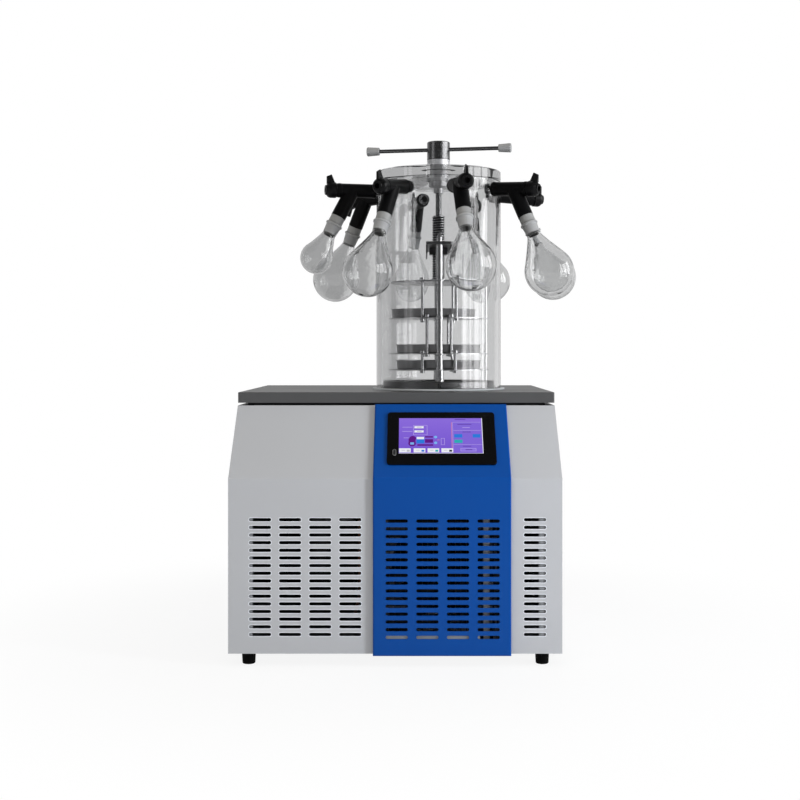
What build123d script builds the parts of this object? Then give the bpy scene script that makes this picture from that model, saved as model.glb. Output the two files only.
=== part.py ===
from build123d import *
import os
from math import cos, radians, sin, tan

os.makedirs("parts", exist_ok=True)

# Bench freeze dryer with a shelf stand, a screw press and eight flask valves.
# Millimetres. The origin is on the floor, under the middle of the whole machine.
# +X is to the user's right, +Y to the back, +Z up.

# ---- Driving dimensions: cabinet ----
CABINET_X = -38.7
FRONT_Y = -320.0
CABINET_W = 600.0
CABINET_D = 608.0
BASE_Z = 25.0
KNEE_Z = 339.0
SLOPE_RUN = 126.0
TOP_Z = KNEE_Z + SLOPE_RUN
SHEET = 1.5
FLANGE = 28.0
FLANGE_SPAN = CABINET_W - 2 * FLANGE - 2
PANEL_HALF = CABINET_W / 2
INNER_KNEE_Z = KNEE_Z - SHEET * tan(radians(22.5))
SLOPE_INSET = SHEET / sin(radians(45))
WORKTOP_D = 480.0
WORKTOP_T = 20.0
WORKTOP_SHEET = 2.0
WORKTOP_MID = SLOPE_RUN + 1 + WORKTOP_D / 2
SPACER_T = 5.0
DECK_Z = TOP_Z + SPACER_T + WORKTOP_T

# ---- Driving dimensions: blue service panel and screen ----
BLUE_X = 84.0
BLUE_W = 248.0
BLUE_BASE_Z = 22.0
BLUE_TOP_Z = 469.0
PROUD = 8.0
BLUE_KNEE_Z = KNEE_Z + PROUD * tan(radians(22.5))
SLOT_L = 40.0
SLOT_W = 6.0
SLOT_ROWS = 16
SCREEN_UP = 91.0
BEZEL_W = 199.0
BEZEL_H = 126.0
BEZEL_T = 4.0
LCD_W = 154.0
LCD_H = 86.0
LCD_UP = 4.6
LCD_DEEP = 1.6

# ---- Driving dimensions: chamber, measured up from the worktop ----
CHAMBER_X = CABINET_X + 84.0
CHAMBER_Y = FRONT_Y + 342.0
TUBE_R = 128.0
TUBE_WALL = 10.0
TUBE_IN = TUBE_R - TUBE_WALL
SEAL_T = 3.0
LID_LOW = 425.0
LID_T = 20.0
LID_TOP = LID_LOW + LID_T

# ---- Driving dimensions: flask valves ----
PORT_H = 403.0
# One line for each valve: its bearing round the tube from the front, the droop of its barrel,
# how far it is pulled off its stub, and how far its branch is swung round the barrel.
VALVES = (
    (12.5, 1.5, 0, 0),
    (-31.3, 5.5, 0, 3.7),
    (-75, 0.2, 5.5, 0),
    (-120, 3.5, 0, 0),
    (57, 3.3, 0, 0),
    (108, 2.5, 0, 0),
    (-165, 2, 0, 0),
    (153, 3, 0, 0),
)
SMALL_VALVE = VALVES[2]
TURNED_VALVE = VALVES[3]
BARREL_R = 14.0
BARREL_BEAD_R = BARREL_R + 0.6
BARREL_END = TUBE_R + 81.4
VALVE_BORE_R = 9.0
BRANCH_R = TUBE_R + 48.0
BRANCH_DROP = 61.5
BRANCH_L = 62.0
BRANCH_SKIN_R = 15.2
ADAPTER_L = 15.5
NECK_START = BRANCH_L + ADAPTER_L
NECK_END = NECK_START + 25.3
FLASK_WALL = 2.0
LARGE_BULB_R = 48.5
LARGE_BULB_AT = 184.5
SMALL_BULB_R = 32.5
SMALL_BULB_AT = 156.0
KNOB_R = 15.75
KNOB_L = 20.0

# ---- Driving dimensions: shelf stand and press ----
POST_R = 7.0
POST_RAD = 96.0
POST_XY = ((0, -POST_RAD), (0, POST_RAD))
GUIDE_X = 97.0
GUIDE_R = 3.75
COLLAR_TOP = 17.0
YOKE_LOW = 290.0
YOKE_T = 5.0
SCREW_R = 13.5
SCREW_LOW = 236.5
SCREW_TOP = 356.0
SHAFT_R = 6.0
PLATE_R = 100.0
PLATE_LOW = 216.5
PLATE_T = 3.0
PLATE_TOP = PLATE_LOW + PLATE_T
SHELF_R = 102.0
SHELF_T = 2.0
SHELF_TOPS = (145.5, 73.5, 41.0)
BUSH_R = 9.0
BUSH_L = 4.0
ROD_R = 3.0
ROD_RAD = 94.0
NUT_R = 5.0
NUT_T = 5.0
TRAY_R = 87.5
TRAY_H = 18.0
HANDLE_TURN = 10.6

# ---- Fits ----
RUNNING = 0.06
CLEAR = 0.4


def level(height):
    """Horizontal plane: x from the cabinet's middle, y back from its front face."""
    return Plane((CABINET_X, FRONT_Y, height))


def side_section(across):
    """Upright plane facing +X: first axis runs back from the front face, second is height."""
    return Plane(origin=(CABINET_X + across, FRONT_Y, 0), x_dir=(0, 1, 0), z_dir=(1, 0, 0))


def front_section(depth):
    """Upright plane facing the user: first axis from the cabinet's middle, second is height."""
    return Plane(origin=(CABINET_X, FRONT_Y + depth, 0), x_dir=(1, 0, 0), z_dir=(0, -1, 0))


def rear_section(depth):
    """Upright plane facing back: first axis runs towards -X, second is height."""
    return Plane(origin=(CABINET_X, FRONT_Y + depth, 0), x_dir=(-1, 0, 0), z_dir=(0, 1, 0))


def slope_section(drop):
    """Plane of the blue panel's slope, sunk by drop: across, then distance up the slope."""
    start = Plane(
        origin=(CABINET_X + BLUE_X, FRONT_Y - PROUD, BLUE_KNEE_Z), x_dir=(1, 0, 0), z_dir=(0, -1, 1)
    )
    return start.offset(-drop)


def deck(height):
    """Horizontal plane on the chamber's axis, at a height above the worktop."""
    return Plane((CHAMBER_X, CHAMBER_Y, DECK_Z + height))


def port_section(valve):
    """Plane through a port's drooping axis: distance out, equal to TUBE_R at the wall, then height."""
    bearing = radians(valve[0])
    droop = radians(valve[1])
    outward = Vector(sin(bearing) * cos(droop), -cos(bearing) * cos(droop), -sin(droop))
    on_wall = deck(PORT_H).origin + Vector(TUBE_R * sin(bearing), -TUBE_R * cos(bearing), 0)
    return Plane(
        origin=on_wall - outward * TUBE_R, x_dir=outward, z_dir=(-cos(bearing), -sin(bearing), 0)
    )


def barrel_section(valve):
    """The port's plane moved out until the barrel's bead just clears the wall."""
    port = port_section(valve)
    stand_off = valve[2] + BARREL_BEAD_R * tan(radians(valve[1]))
    return Plane(origin=port.origin + port.x_dir * stand_off, x_dir=port.x_dir, z_dir=port.z_dir)


def branch_section(valve):
    """The barrel's plane laid along its branch: distance from the barrel's axis, then radius."""
    drop = radians(BRANCH_DROP)
    swing = radians(valve[3])
    barrel = barrel_section(valve)
    downward = barrel.z_dir * sin(swing) - barrel.y_dir * cos(swing)
    return Plane(
        origin=barrel.from_local_coords((BRANCH_R, 0, 0)),
        x_dir=barrel.x_dir * cos(drop) + downward * sin(drop),
        z_dir=barrel.z_dir * cos(swing) + barrel.y_dir * sin(swing),
    )


def long_axis(plane):
    """Axis along a plane's first direction."""
    return Axis(plane.origin, plane.x_dir)


def save(piece, name):
    """Label one finished piece and write it."""
    piece.label = name
    export_step(piece, f"parts/{name}.step")


CHAMBER_AXIS = Axis((CHAMBER_X, CHAMBER_Y, 0), (0, 0, 1))
CHAMBER_SECTION = Plane(origin=(CHAMBER_X, CHAMBER_Y, DECK_Z), x_dir=(1, 0, 0), z_dir=(0, -1, 0))

# ======== Cabinet ========

# Front panel: one sheet folded at the knee, with a short flange under it and one on top.
FRONT_OPEN_W = BLUE_W - 36
FRONT_OPEN_H = 276.0
FRONT_OPEN_Z = 185.0
SCREEN_OPEN_W = BEZEL_W - 7
SCREEN_OPEN_H = BEZEL_H - 7
FRONT_LIP = 15.0
LEFT_SLOTS = (-161.7, 162.5)
RIGHT_SLOTS = (250.8, 162.5)
COLUMN_PITCH = 54.0
SLOT_PITCH = 13.73
with BuildPart() as front_panel:
    with BuildSketch(side_section(-PANEL_HALF)):
        Polygon(
            (0, BASE_Z),
            (0, KNEE_Z),
            (SLOPE_RUN, TOP_Z),
            (SLOPE_RUN + SLOPE_INSET / 2, TOP_Z - SLOPE_INSET / 2),
            (SHEET, INNER_KNEE_Z),
            (SHEET, BASE_Z),
            align=None,
        )
    extrude(amount=CABINET_W)
    knee_edge = front_panel.edges().filter_by(Axis.X).filter_by_position(Axis.Z, KNEE_Z - 0.1, KNEE_Z + 0.1)
    fillet(knee_edge, radius=3)
    with BuildSketch(side_section(-FLANGE_SPAN / 2)):
        with Locations((0, BASE_Z)):
            Rectangle(FRONT_LIP, SHEET, align=Align.MIN)
        Polygon(
            (SLOPE_RUN - SHEET, TOP_Z - SHEET),
            (SLOPE_RUN, TOP_Z),
            (SLOPE_RUN + FLANGE, TOP_Z),
            (SLOPE_RUN + FLANGE, TOP_Z - SHEET),
            align=None,
        )
    extrude(amount=FLANGE_SPAN)
    with BuildSketch(front_section(0)):
        with Locations(LEFT_SLOTS):
            with GridLocations(COLUMN_PITCH, SLOT_PITCH, 4, SLOT_ROWS):
                SlotOverall(SLOT_L, SLOT_W)
        with Locations(RIGHT_SLOTS):
            with GridLocations(COLUMN_PITCH, SLOT_PITCH, 1, SLOT_ROWS):
                SlotOverall(SLOT_L, SLOT_W)
        with Locations((BLUE_X, FRONT_OPEN_Z)):
            RectangleRounded(FRONT_OPEN_W, FRONT_OPEN_H, 6)
    extrude(amount=-2 * SHEET, mode=Mode.SUBTRACT)
    with BuildSketch(slope_section(0)):
        with Locations((0, SCREEN_UP)):
            RectangleRounded(SCREEN_OPEN_W, SCREEN_OPEN_H, 4)
    extrude(amount=-20, mode=Mode.SUBTRACT)
save(front_panel.part, "front_panel")

# Blue service panel: a shallow folded pan standing proud of the front panel.
BLUE_TOP_V = BLUE_TOP_Z - BLUE_KNEE_Z - PROUD
PROUD_STEP = PROUD * sin(radians(45))
BLUE_SLOT_Z = 160.0
BLUE_COLUMN_PITCH = 54.8
BLUE_SLOT_PITCH = 13.87
with BuildPart() as blue_front_panel:
    with BuildSketch(side_section(BLUE_X - BLUE_W / 2)):
        Polygon(
            (0, BLUE_BASE_Z),
            (-PROUD, BLUE_BASE_Z),
            (-PROUD, BLUE_KNEE_Z),
            (BLUE_TOP_V, BLUE_TOP_Z),
            (BLUE_TOP_V + PROUD_STEP, BLUE_TOP_Z - PROUD_STEP),
            (0, KNEE_Z),
            align=None,
        )
    extrude(amount=BLUE_W)
    blue_face = blue_front_panel.faces().filter_by(Axis.Y).sort_by(Axis.Y)[0]
    blue_slope = blue_front_panel.faces().filter_by(lambda f: f.normal_at().Z > 0.5).sort_by(Axis.Y)[0]
    fillet(blue_face.edges() + blue_slope.edges(), radius=3)
    open_back = blue_front_panel.faces().filter_by(Axis.Y).sort_by(Axis.Y)[-1]
    open_slope = blue_front_panel.faces().filter_by(lambda f: f.normal_at().Z < -0.5 < f.normal_at().Y)
    open_slope = open_slope.filter_by(lambda f: f.normal_at().Y > 0.5)
    offset(amount=-SHEET, openings=[open_back, *open_slope])
    with BuildSketch(front_section(-PROUD)):
        with Locations((BLUE_X + 1, BLUE_SLOT_Z)):
            with GridLocations(BLUE_COLUMN_PITCH, BLUE_SLOT_PITCH, 4, SLOT_ROWS):
                SlotOverall(SLOT_L, SLOT_W)
    extrude(amount=-2 * SHEET, mode=Mode.SUBTRACT)
    with BuildSketch(slope_section(0)):
        with Locations((0, SCREEN_UP)):
            RectangleRounded(SCREEN_OPEN_W, SCREEN_OPEN_H, 4)
    extrude(amount=-2 * SHEET, mode=Mode.SUBTRACT)
save(blue_front_panel.part, "blue_front_panel")

# Side panels: folded pans, mirror images of each other, standing behind the front panel.
SIDE_OUTLINE = (
    (SHEET, BASE_Z),
    (SHEET, INNER_KNEE_Z),
    (SLOPE_RUN + SLOPE_INSET, TOP_Z),
    (CABINET_D - SHEET, TOP_Z),
    (CABINET_D - SHEET, BASE_Z),
)
with BuildPart() as left_side_panel:
    with BuildSketch(side_section(-PANEL_HALF)):
        Polygon(*SIDE_OUTLINE, align=None)
    extrude(amount=FLANGE)
    open_side = left_side_panel.faces().filter_by(Axis.X).sort_by(Axis.X)[-1]
    offset(amount=-SHEET, openings=open_side)
save(left_side_panel.part, "left_side_panel")

with BuildPart() as right_side_panel:
    add(left_side_panel.part.mirror(Plane.YZ.offset(CABINET_X)))
save(right_side_panel.part, "right_side_panel")

# Base pan: rests on the side panels' lower flanges, turned up at the front and the back.
PAN_Z = BASE_Z + SHEET
PAN_FRONT = 2 * SHEET
PAN_BACK = CABINET_D - 2 * SHEET
PAN_LIP = 20.0
FOOT_X = 267.0
FOOT_INSET = 35.0
FOOT_XY = tuple((x, y) for x in (-FOOT_X, FOOT_X) for y in (FOOT_INSET, CABINET_D - FOOT_INSET))
FOOT_HOLE_R = 3.2
with BuildPart() as base_pan:
    with BuildSketch(level(PAN_Z)):
        with Locations((0, (PAN_FRONT + PAN_BACK) / 2)):
            Rectangle(CABINET_W - 2 * SHEET, PAN_BACK - PAN_FRONT)
        with Locations(*FOOT_XY):
            Circle(FOOT_HOLE_R, mode=Mode.SUBTRACT)
    extrude(amount=SHEET)
    with BuildSketch(level(PAN_Z)):
        for edge_y in (PAN_FRONT + SHEET / 2, PAN_BACK - SHEET / 2):
            with Locations((0, edge_y)):
                Rectangle(FLANGE_SPAN, SHEET)
    extrude(amount=PAN_LIP)
save(base_pan.part, "base_pan")

# Rear panel: flat sheet with a top flange, exhaust slots and cut-outs for the fittings.
VACUUM_X = -60.0
VACUUM_Z = 236.0
DRAIN_X = 150.0
DRAIN_Z = 70.0
INLET_X = -220.0
INLET_Z = 90.0
SWITCH_Z = 140.0
EXHAUST_X = 150.0
EXHAUST_Z = 350.0
INLET_CUT = (28.0, 20.0)
SWITCH_CUT = (19.0, 26.0)
with BuildPart() as rear_panel:
    with BuildSketch(rear_section(CABINET_D - SHEET)):
        with Locations((0, (BASE_Z + TOP_Z) / 2)):
            Rectangle(CABINET_W, TOP_Z - BASE_Z)
        with Locations((-EXHAUST_X, EXHAUST_Z), (EXHAUST_X, EXHAUST_Z)):
            with GridLocations(COLUMN_PITCH, SLOT_PITCH, 4, 10):
                SlotOverall(SLOT_L, SLOT_W, mode=Mode.SUBTRACT)
        with Locations((-BLUE_X - VACUUM_X, VACUUM_Z)):
            Circle(15, mode=Mode.SUBTRACT)
        with Locations((-DRAIN_X, DRAIN_Z)):
            Circle(7, mode=Mode.SUBTRACT)
        with Locations((-INLET_X, INLET_Z)):
            RectangleRounded(*INLET_CUT, 2, mode=Mode.SUBTRACT)
        with Locations((-INLET_X, SWITCH_Z)):
            Rectangle(*SWITCH_CUT, mode=Mode.SUBTRACT)
    extrude(amount=SHEET)
    with BuildSketch(side_section(-FLANGE_SPAN / 2)):
        with Locations((CABINET_D - FLANGE / 2, TOP_Z - SHEET / 2)):
            Rectangle(FLANGE, SHEET)
    extrude(amount=FLANGE_SPAN)
save(rear_panel.part, "rear_panel")

# Rubber feet: four tapered studs screwed up into the base pan.
FOOT_R = 13.0
SCREW_RECESS_R = 5.5
SCREW_RECESS = 12.0
with BuildPart() as rubber_feet:
    with BuildSketch(level(BASE_Z)):
        with Locations(*FOOT_XY):
            Circle(FOOT_R)
    extrude(amount=-BASE_Z, taper=3)
    fillet(rubber_feet.edges().group_by(Axis.Z)[0], radius=2)
    with BuildSketch(level(0)):
        with Locations(*FOOT_XY):
            Circle(SCREW_RECESS_R)
    extrude(amount=SCREW_RECESS, mode=Mode.SUBTRACT)
    with BuildSketch(level(0)):
        with Locations(*FOOT_XY):
            Circle(3)
    extrude(amount=BASE_Z, mode=Mode.SUBTRACT)
save(rubber_feet.part, "rubber_feet")

# Spacer: a dark frame that leaves a shadow gap under the worktop.
SPACER_INSET = 17.0
SPACER_BAR = 14.0
with BuildPart() as worktop_spacer:
    with BuildSketch(level(TOP_Z)):
        with Locations((0, WORKTOP_MID)):
            spacer_outer = Rectangle(CABINET_W - 2 * SPACER_INSET, WORKTOP_D - 2 * SPACER_INSET)
            offset(spacer_outer, amount=-SPACER_BAR, kind=Kind.INTERSECTION, mode=Mode.SUBTRACT)
    extrude(amount=SPACER_T)
save(worktop_spacer.part, "worktop_spacer")

# Worktop: a sheet pan turned down at its edges and back under them, cut out for the trap.
TRAP_R = 106.0
WORKTOP_RETURN = 35.0
with BuildPart() as worktop:
    with BuildSketch(level(TOP_Z + SPACER_T)):
        with Locations((0, WORKTOP_MID)):
            Rectangle(CABINET_W, WORKTOP_D)
    extrude(amount=WORKTOP_T)
    fillet(worktop.edges().filter_by(Axis.Z), radius=3)
    fillet(worktop.edges().group_by(Axis.Z)[-1], radius=1.5)
    with BuildSketch(level(TOP_Z + SPACER_T + WORKTOP_SHEET)):
        with Locations((0, WORKTOP_MID)):
            RectangleRounded(CABINET_W - 2 * WORKTOP_SHEET, WORKTOP_D - 2 * WORKTOP_SHEET, 1)
    extrude(amount=WORKTOP_T - 2 * WORKTOP_SHEET, mode=Mode.SUBTRACT)
    with BuildSketch(level(TOP_Z + SPACER_T)):
        with Locations((0, WORKTOP_MID)):
            Rectangle(CABINET_W - 2 * WORKTOP_RETURN, WORKTOP_D - 2 * WORKTOP_RETURN)
    extrude(amount=WORKTOP_SHEET, mode=Mode.SUBTRACT)
    with BuildSketch(deck(-WORKTOP_SHEET)):
        Circle(TRAP_R + 0.5)
    extrude(amount=WORKTOP_SHEET, mode=Mode.SUBTRACT)
save(worktop.part, "worktop")

# ======== Screen and electrics ========

# Bezel: front frame with a housing that reaches back through both panels.
HOUSING_DEEP = 30.0
HOUSING_W = BEZEL_W - 13
HOUSING_H = BEZEL_H - 13
HOUSING_WALL = 3.0
PORT_FLAP_INSET = 10.0
PORT_FLAP_UP = 13.0
with BuildPart() as screen_bezel:
    with BuildSketch(slope_section(0)):
        with Locations((0, SCREEN_UP)):
            RectangleRounded(BEZEL_W, BEZEL_H, 6)
    extrude(amount=BEZEL_T)
    fillet(screen_bezel.faces().sort_by(Axis((0, 0, 0), (0, -1, 1)))[-1].edges(), radius=1.2)
    with BuildSketch(slope_section(0)):
        with Locations((0, SCREEN_UP)):
            RectangleRounded(HOUSING_W, HOUSING_H, 3)
    extrude(amount=-HOUSING_DEEP)
    with BuildSketch(slope_section(HOUSING_DEEP)):
        with Locations((0, SCREEN_UP)):
            Rectangle(HOUSING_W - 2 * HOUSING_WALL, HOUSING_H - 2 * HOUSING_WALL)
    extrude(amount=HOUSING_DEEP - 1, mode=Mode.SUBTRACT)
    with BuildSketch(slope_section(-BEZEL_T)):
        with Locations((-1, SCREEN_UP + LCD_UP)):
            Rectangle(LCD_W, LCD_H)
    extrude(amount=-LCD_DEEP, mode=Mode.SUBTRACT)
    with BuildSketch(slope_section(-BEZEL_T)):
        with Locations((PORT_FLAP_INSET - BEZEL_W / 2, SCREEN_UP - BEZEL_H / 2 + PORT_FLAP_UP)):
            RectangleRounded(6, 13, 2)
    extrude(amount=-1, mode=Mode.SUBTRACT)
save(screen_bezel.part, "screen_bezel")

with BuildPart() as screen_glass:
    with BuildSketch(slope_section(LCD_DEEP - BEZEL_T)):
        with Locations((-1, SCREEN_UP + LCD_UP)):
            Rectangle(LCD_W, LCD_H)
    extrude(amount=LCD_DEEP - 0.4)
save(screen_glass.part, "screen_glass")

# Control board on four stand-offs from the left side panel.
BOARD_STAND = 10.0
BOARD_Y = 300.0
BOARD_Z = 330.0
with BuildPart() as control_board:
    with BuildSketch(side_section(-PANEL_HALF + SHEET)):
        with Locations((BOARD_Y, BOARD_Z)):
            with GridLocations(140, 90, 2, 2):
                Circle(3)
    extrude(amount=BOARD_STAND)
    with BuildSketch(side_section(-PANEL_HALF + SHEET + BOARD_STAND)):
        with Locations((BOARD_Y, BOARD_Z)):
            RectangleRounded(160, 110, 4)
    extrude(amount=1.6)
    board_face = side_section(-PANEL_HALF + SHEET + BOARD_STAND + 1.6)
    with BuildSketch(board_face):
        with Locations((BOARD_Y - 40, BOARD_Z + 15)):
            Rectangle(46, 40)
        with Locations((BOARD_Y + 34, BOARD_Z + 28)):
            with GridLocations(24, 0, 3, 1):
                Rectangle(16, 28)
    extrude(amount=17)
    with BuildSketch(board_face):
        with Locations((BOARD_Y, BOARD_Z - 42)):
            Rectangle(130, 9)
        with Locations((BOARD_Y + 20, BOARD_Z - 12)):
            Rectangle(26, 26)
    extrude(amount=9)
save(control_board.part, "control_board")

# Mains inlet and, above it, the switch's frame, both snapped into the rear panel.
FRAME_T = 2.0
with BuildPart() as power_inlet:
    with BuildSketch(rear_section(CABINET_D)):
        with Locations((-INLET_X, (INLET_Z + SWITCH_Z) / 2)):
            RectangleRounded(36, SWITCH_Z - INLET_Z + 30, 3)
    extrude(amount=FRAME_T)
    with BuildSketch(rear_section(CABINET_D)):
        with Locations((-INLET_X, INLET_Z)):
            RectangleRounded(27, 19, 2)
        with Locations((-INLET_X, SWITCH_Z)):
            Rectangle(18, 25)
    extrude(amount=-24)
    with BuildSketch(rear_section(CABINET_D + FRAME_T)):
        with Locations((-INLET_X, INLET_Z)):
            RectangleRounded(24, 16, 3)
    extrude(amount=-18, mode=Mode.SUBTRACT)
    with BuildSketch(rear_section(CABINET_D + FRAME_T)):
        with Locations((-INLET_X, SWITCH_Z)):
            Rectangle(14, 21.6)
    extrude(amount=-14, mode=Mode.SUBTRACT)
    with BuildSketch(rear_section(CABINET_D + FRAME_T - 18)):
        with Locations((-INLET_X - 7, INLET_Z - 2), (-INLET_X + 7, INLET_Z - 2), (-INLET_X, INLET_Z + 2)):
            Rectangle(2, 4)
    extrude(amount=14)
save(power_inlet.part, "power_inlet")

# Rocker: a drum segment on a cross pin, at rest with its lower half pressed in.
ROCKER_R = 10.4
ROCKER_TILT = 8.0
rocker_axis_y = CABINET_D + FRAME_T - 2
rocker_plane = Plane(
    origin=(CABINET_X + INLET_X - 6.7, FRONT_Y + rocker_axis_y, SWITCH_Z),
    x_dir=(0, cos(radians(ROCKER_TILT)), sin(radians(ROCKER_TILT))),
    z_dir=(1, 0, 0),
)
with BuildPart() as power_switch:
    with BuildSketch(rocker_plane):
        Circle(ROCKER_R)
        with Locations((ROCKER_R + 3.2, 0)):
            Rectangle(2 * ROCKER_R, 4 * ROCKER_R, mode=Mode.SUBTRACT)
        Polygon((3.2, -9.9), (5.4, -9.4), (3.2, 0), (5.4, 9.4), (3.2, 9.9), align=None)
    extrude(amount=13.4)
save(power_switch.part, "power_switch")

# ======== Refrigeration ========

# Compressor: a welded steel can with domed ends on a mounting plate with rubber bushes.
COMPRESSOR_X = -160.0
COMPRESSOR_Y = 430.0
COMPRESSOR_R = 75.0
FLOOR_Z = PAN_Z + SHEET
compressor_plane = Plane(
    origin=(CABINET_X + COMPRESSOR_X, FRONT_Y + COMPRESSOR_Y, FLOOR_Z), x_dir=(1, 0, 0), z_dir=(0, -1, 0)
)
with BuildPart() as compressor:
    with BuildSketch(compressor_plane):
        with BuildLine():
            Line((0, 22), (50, 22))
            CenterArc((50, 47), 25, -90, 90)
            Line((COMPRESSOR_R, 47), (COMPRESSOR_R, 160))
            CenterArc((50, 160), 25, 0, 90)
            Line((50, 185), (0, 185))
            Line((0, 185), (0, 22))
        make_face()
        with Locations((COMPRESSOR_R, 100)):
            Rectangle(5, 6)
    revolve(axis=Axis(compressor_plane.origin, (0, 0, 1)))
    with BuildSketch(Plane(compressor_plane.origin).offset(12)):
        RectangleRounded(190, 140, 12)
    extrude(amount=4)
    with BuildSketch(Plane(compressor_plane.origin).offset(16)):
        Circle(45)
    extrude(amount=8)
    with BuildSketch(Plane(compressor_plane.origin)):
        with GridLocations(164, 114, 2, 2):
            Circle(10)
    extrude(amount=20)
save(compressor.part, "compressor")

# Condenser: a fin pack on cross tubes with return bends, behind the blue panel's slots.
CONDENSER_X = 84.0
CONDENSER_Y = 40.0
CONDENSER_Z = 170.0
FIN_SPAN = 190.0
FIN_H = 220.0
COIL_TUBE_R = 4.75
COIL_PITCH = 25.0
coil_rows = [CONDENSER_Z + COIL_PITCH * (row - 3.5) for row in range(8)]
with BuildPart() as condenser_coil:
    with BuildSketch(level(CONDENSER_Z - FIN_H / 2)):
        with Locations((CONDENSER_X, CONDENSER_Y)):
            with GridLocations(FIN_SPAN / 19, 0, 20, 1):
                Rectangle(0.8, 40)
    extrude(amount=FIN_H)
    with BuildSketch(side_section(CONDENSER_X - FIN_SPAN / 2 - 2)):
        for height in coil_rows:
            with Locations((CONDENSER_Y, height)):
                Circle(COIL_TUBE_R)
    extrude(amount=FIN_SPAN + 4)
    for index, lower in enumerate(coil_rows[:-1]):
        side = 1 if index % 2 == 0 else -1
        bend_x = CONDENSER_X + side * (FIN_SPAN / 2 + 2)
        with BuildSketch(side_section(bend_x)):
            with Locations((CONDENSER_Y, lower)):
                Circle(COIL_TUBE_R)
        bend_axis = Axis((CABINET_X + bend_x, FRONT_Y, lower + COIL_PITCH / 2), (0, -side, 0))
        revolve(axis=bend_axis, revolution_arc=180)
    with BuildSketch(level(FLOOR_Z)):
        for end_x in (CONDENSER_X - FIN_SPAN / 2 + 10, CONDENSER_X + FIN_SPAN / 2 - 10):
            with Locations((end_x, CONDENSER_Y)):
                Rectangle(16, 30)
    extrude(amount=CONDENSER_Z - FIN_H / 2 - FLOOR_Z + 2)
save(condenser_coil.part, "condenser_coil")

# Fan shroud: plate, inlet ring and the motor on three arms.
FAN_Y = 64.0
FAN_R = 88.0
MOTOR_Y = FAN_Y + 44.0
with BuildPart() as fan_shroud:
    with BuildSketch(rear_section(FAN_Y)):
        with Locations((-CONDENSER_X, CONDENSER_Z)):
            RectangleRounded(206, 220, 6)
            Circle(FAN_R + 4, mode=Mode.SUBTRACT)
    extrude(amount=2)
    with BuildSketch(rear_section(FAN_Y)):
        with Locations((-CONDENSER_X, CONDENSER_Z)):
            Circle(FAN_R + 6)
            Circle(FAN_R + 4, mode=Mode.SUBTRACT)
    extrude(amount=34)
    with BuildSketch(rear_section(MOTOR_Y - 14)):
        with Locations((-CONDENSER_X, CONDENSER_Z)):
            with PolarLocations(0, 3, start_angle=90):
                with Locations((FAN_R / 2 + 3, 0)):
                    Rectangle(FAN_R + 6, 12)
    extrude(amount=4)
    with BuildSketch(rear_section(MOTOR_Y - 14)):
        with Locations((-CONDENSER_X, CONDENSER_Z)):
            Circle(32)
    extrude(amount=52)
    with BuildSketch(rear_section(MOTOR_Y - 14)):
        with Locations((-CONDENSER_X, CONDENSER_Z)):
            Circle(4 + RUNNING)
    extrude(amount=30, mode=Mode.SUBTRACT)
    with BuildSketch(level(FLOOR_Z)):
        for end_x in (CONDENSER_X - 80, CONDENSER_X + 80):
            with Locations((end_x, FAN_Y + 1)):
                Rectangle(30, 2)
    extrude(amount=CONDENSER_Z - 110 - FLOOR_Z + 4)
save(fan_shroud.part, "fan_shroud")

# Fan: hub, five twisted blades and the shaft that runs in the motor.
fan_front = rear_section(FAN_Y + 8)
with BuildPart() as fan_blade:
    with BuildSketch(fan_front):
        with Locations((-CONDENSER_X, CONDENSER_Z)):
            Circle(24)
    extrude(amount=20)
    with BuildSketch(fan_front):
        with Locations((-CONDENSER_X, CONDENSER_Z)):
            Circle(4)
    extrude(amount=46)
    for blade in range(5):
        turn = radians(72 * blade)
        radial = (cos(turn), 0, sin(turn))
        blade_plane = Plane(
            origin=(CABINET_X + CONDENSER_X, FRONT_Y + FAN_Y + 18, CONDENSER_Z),
            x_dir=(-sin(turn) * 0.88, 0.47, cos(turn) * 0.88),
            z_dir=radial,
        )
        with BuildSketch(blade_plane.offset(22)):
            Rectangle(34, 2.4)
        extrude(amount=FAN_R - 24)
save(fan_blade.part, "fan_blade")

# Cold trap: a deep stainless pot hung by its rim, with vacuum and drain spigots below.
TRAP_DEEP = 168.0
TRAP_WALL = 2.0
SPIGOT_LOW = 200.0
with BuildPart() as cold_trap:
    with BuildSketch(CHAMBER_SECTION):
        Polygon(
            (0, -TRAP_DEEP),
            (TRAP_R - TRAP_WALL - 8, -TRAP_DEEP),
            (TRAP_R - TRAP_WALL, -TRAP_DEEP + 8),
            (TRAP_R - TRAP_WALL, TRAP_WALL),
            (TUBE_IN - 0.6, TRAP_WALL),
            (TUBE_IN - 0.6, 0),
            (TRAP_R, 0),
            (TRAP_R, -TRAP_DEEP + 7),
            (TRAP_R - 9, -TRAP_DEEP - TRAP_WALL),
            (0, -TRAP_DEEP - TRAP_WALL),
            align=None,
        )
    revolve(axis=CHAMBER_AXIS)
    with BuildSketch(deck(-TRAP_DEEP - 1)):
        with Locations((VACUUM_X, 0)):
            Circle(14)
        Circle(6)
    extrude(amount=1 - (SPIGOT_LOW - TRAP_DEEP))
    with BuildSketch(deck(-TRAP_DEEP)):
        with Locations((VACUUM_X, 0)):
            Circle(12.7)
        Circle(4.5)
    extrude(amount=-(SPIGOT_LOW - TRAP_DEEP), mode=Mode.SUBTRACT)
save(cold_trap.part, "cold_trap")

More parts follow.
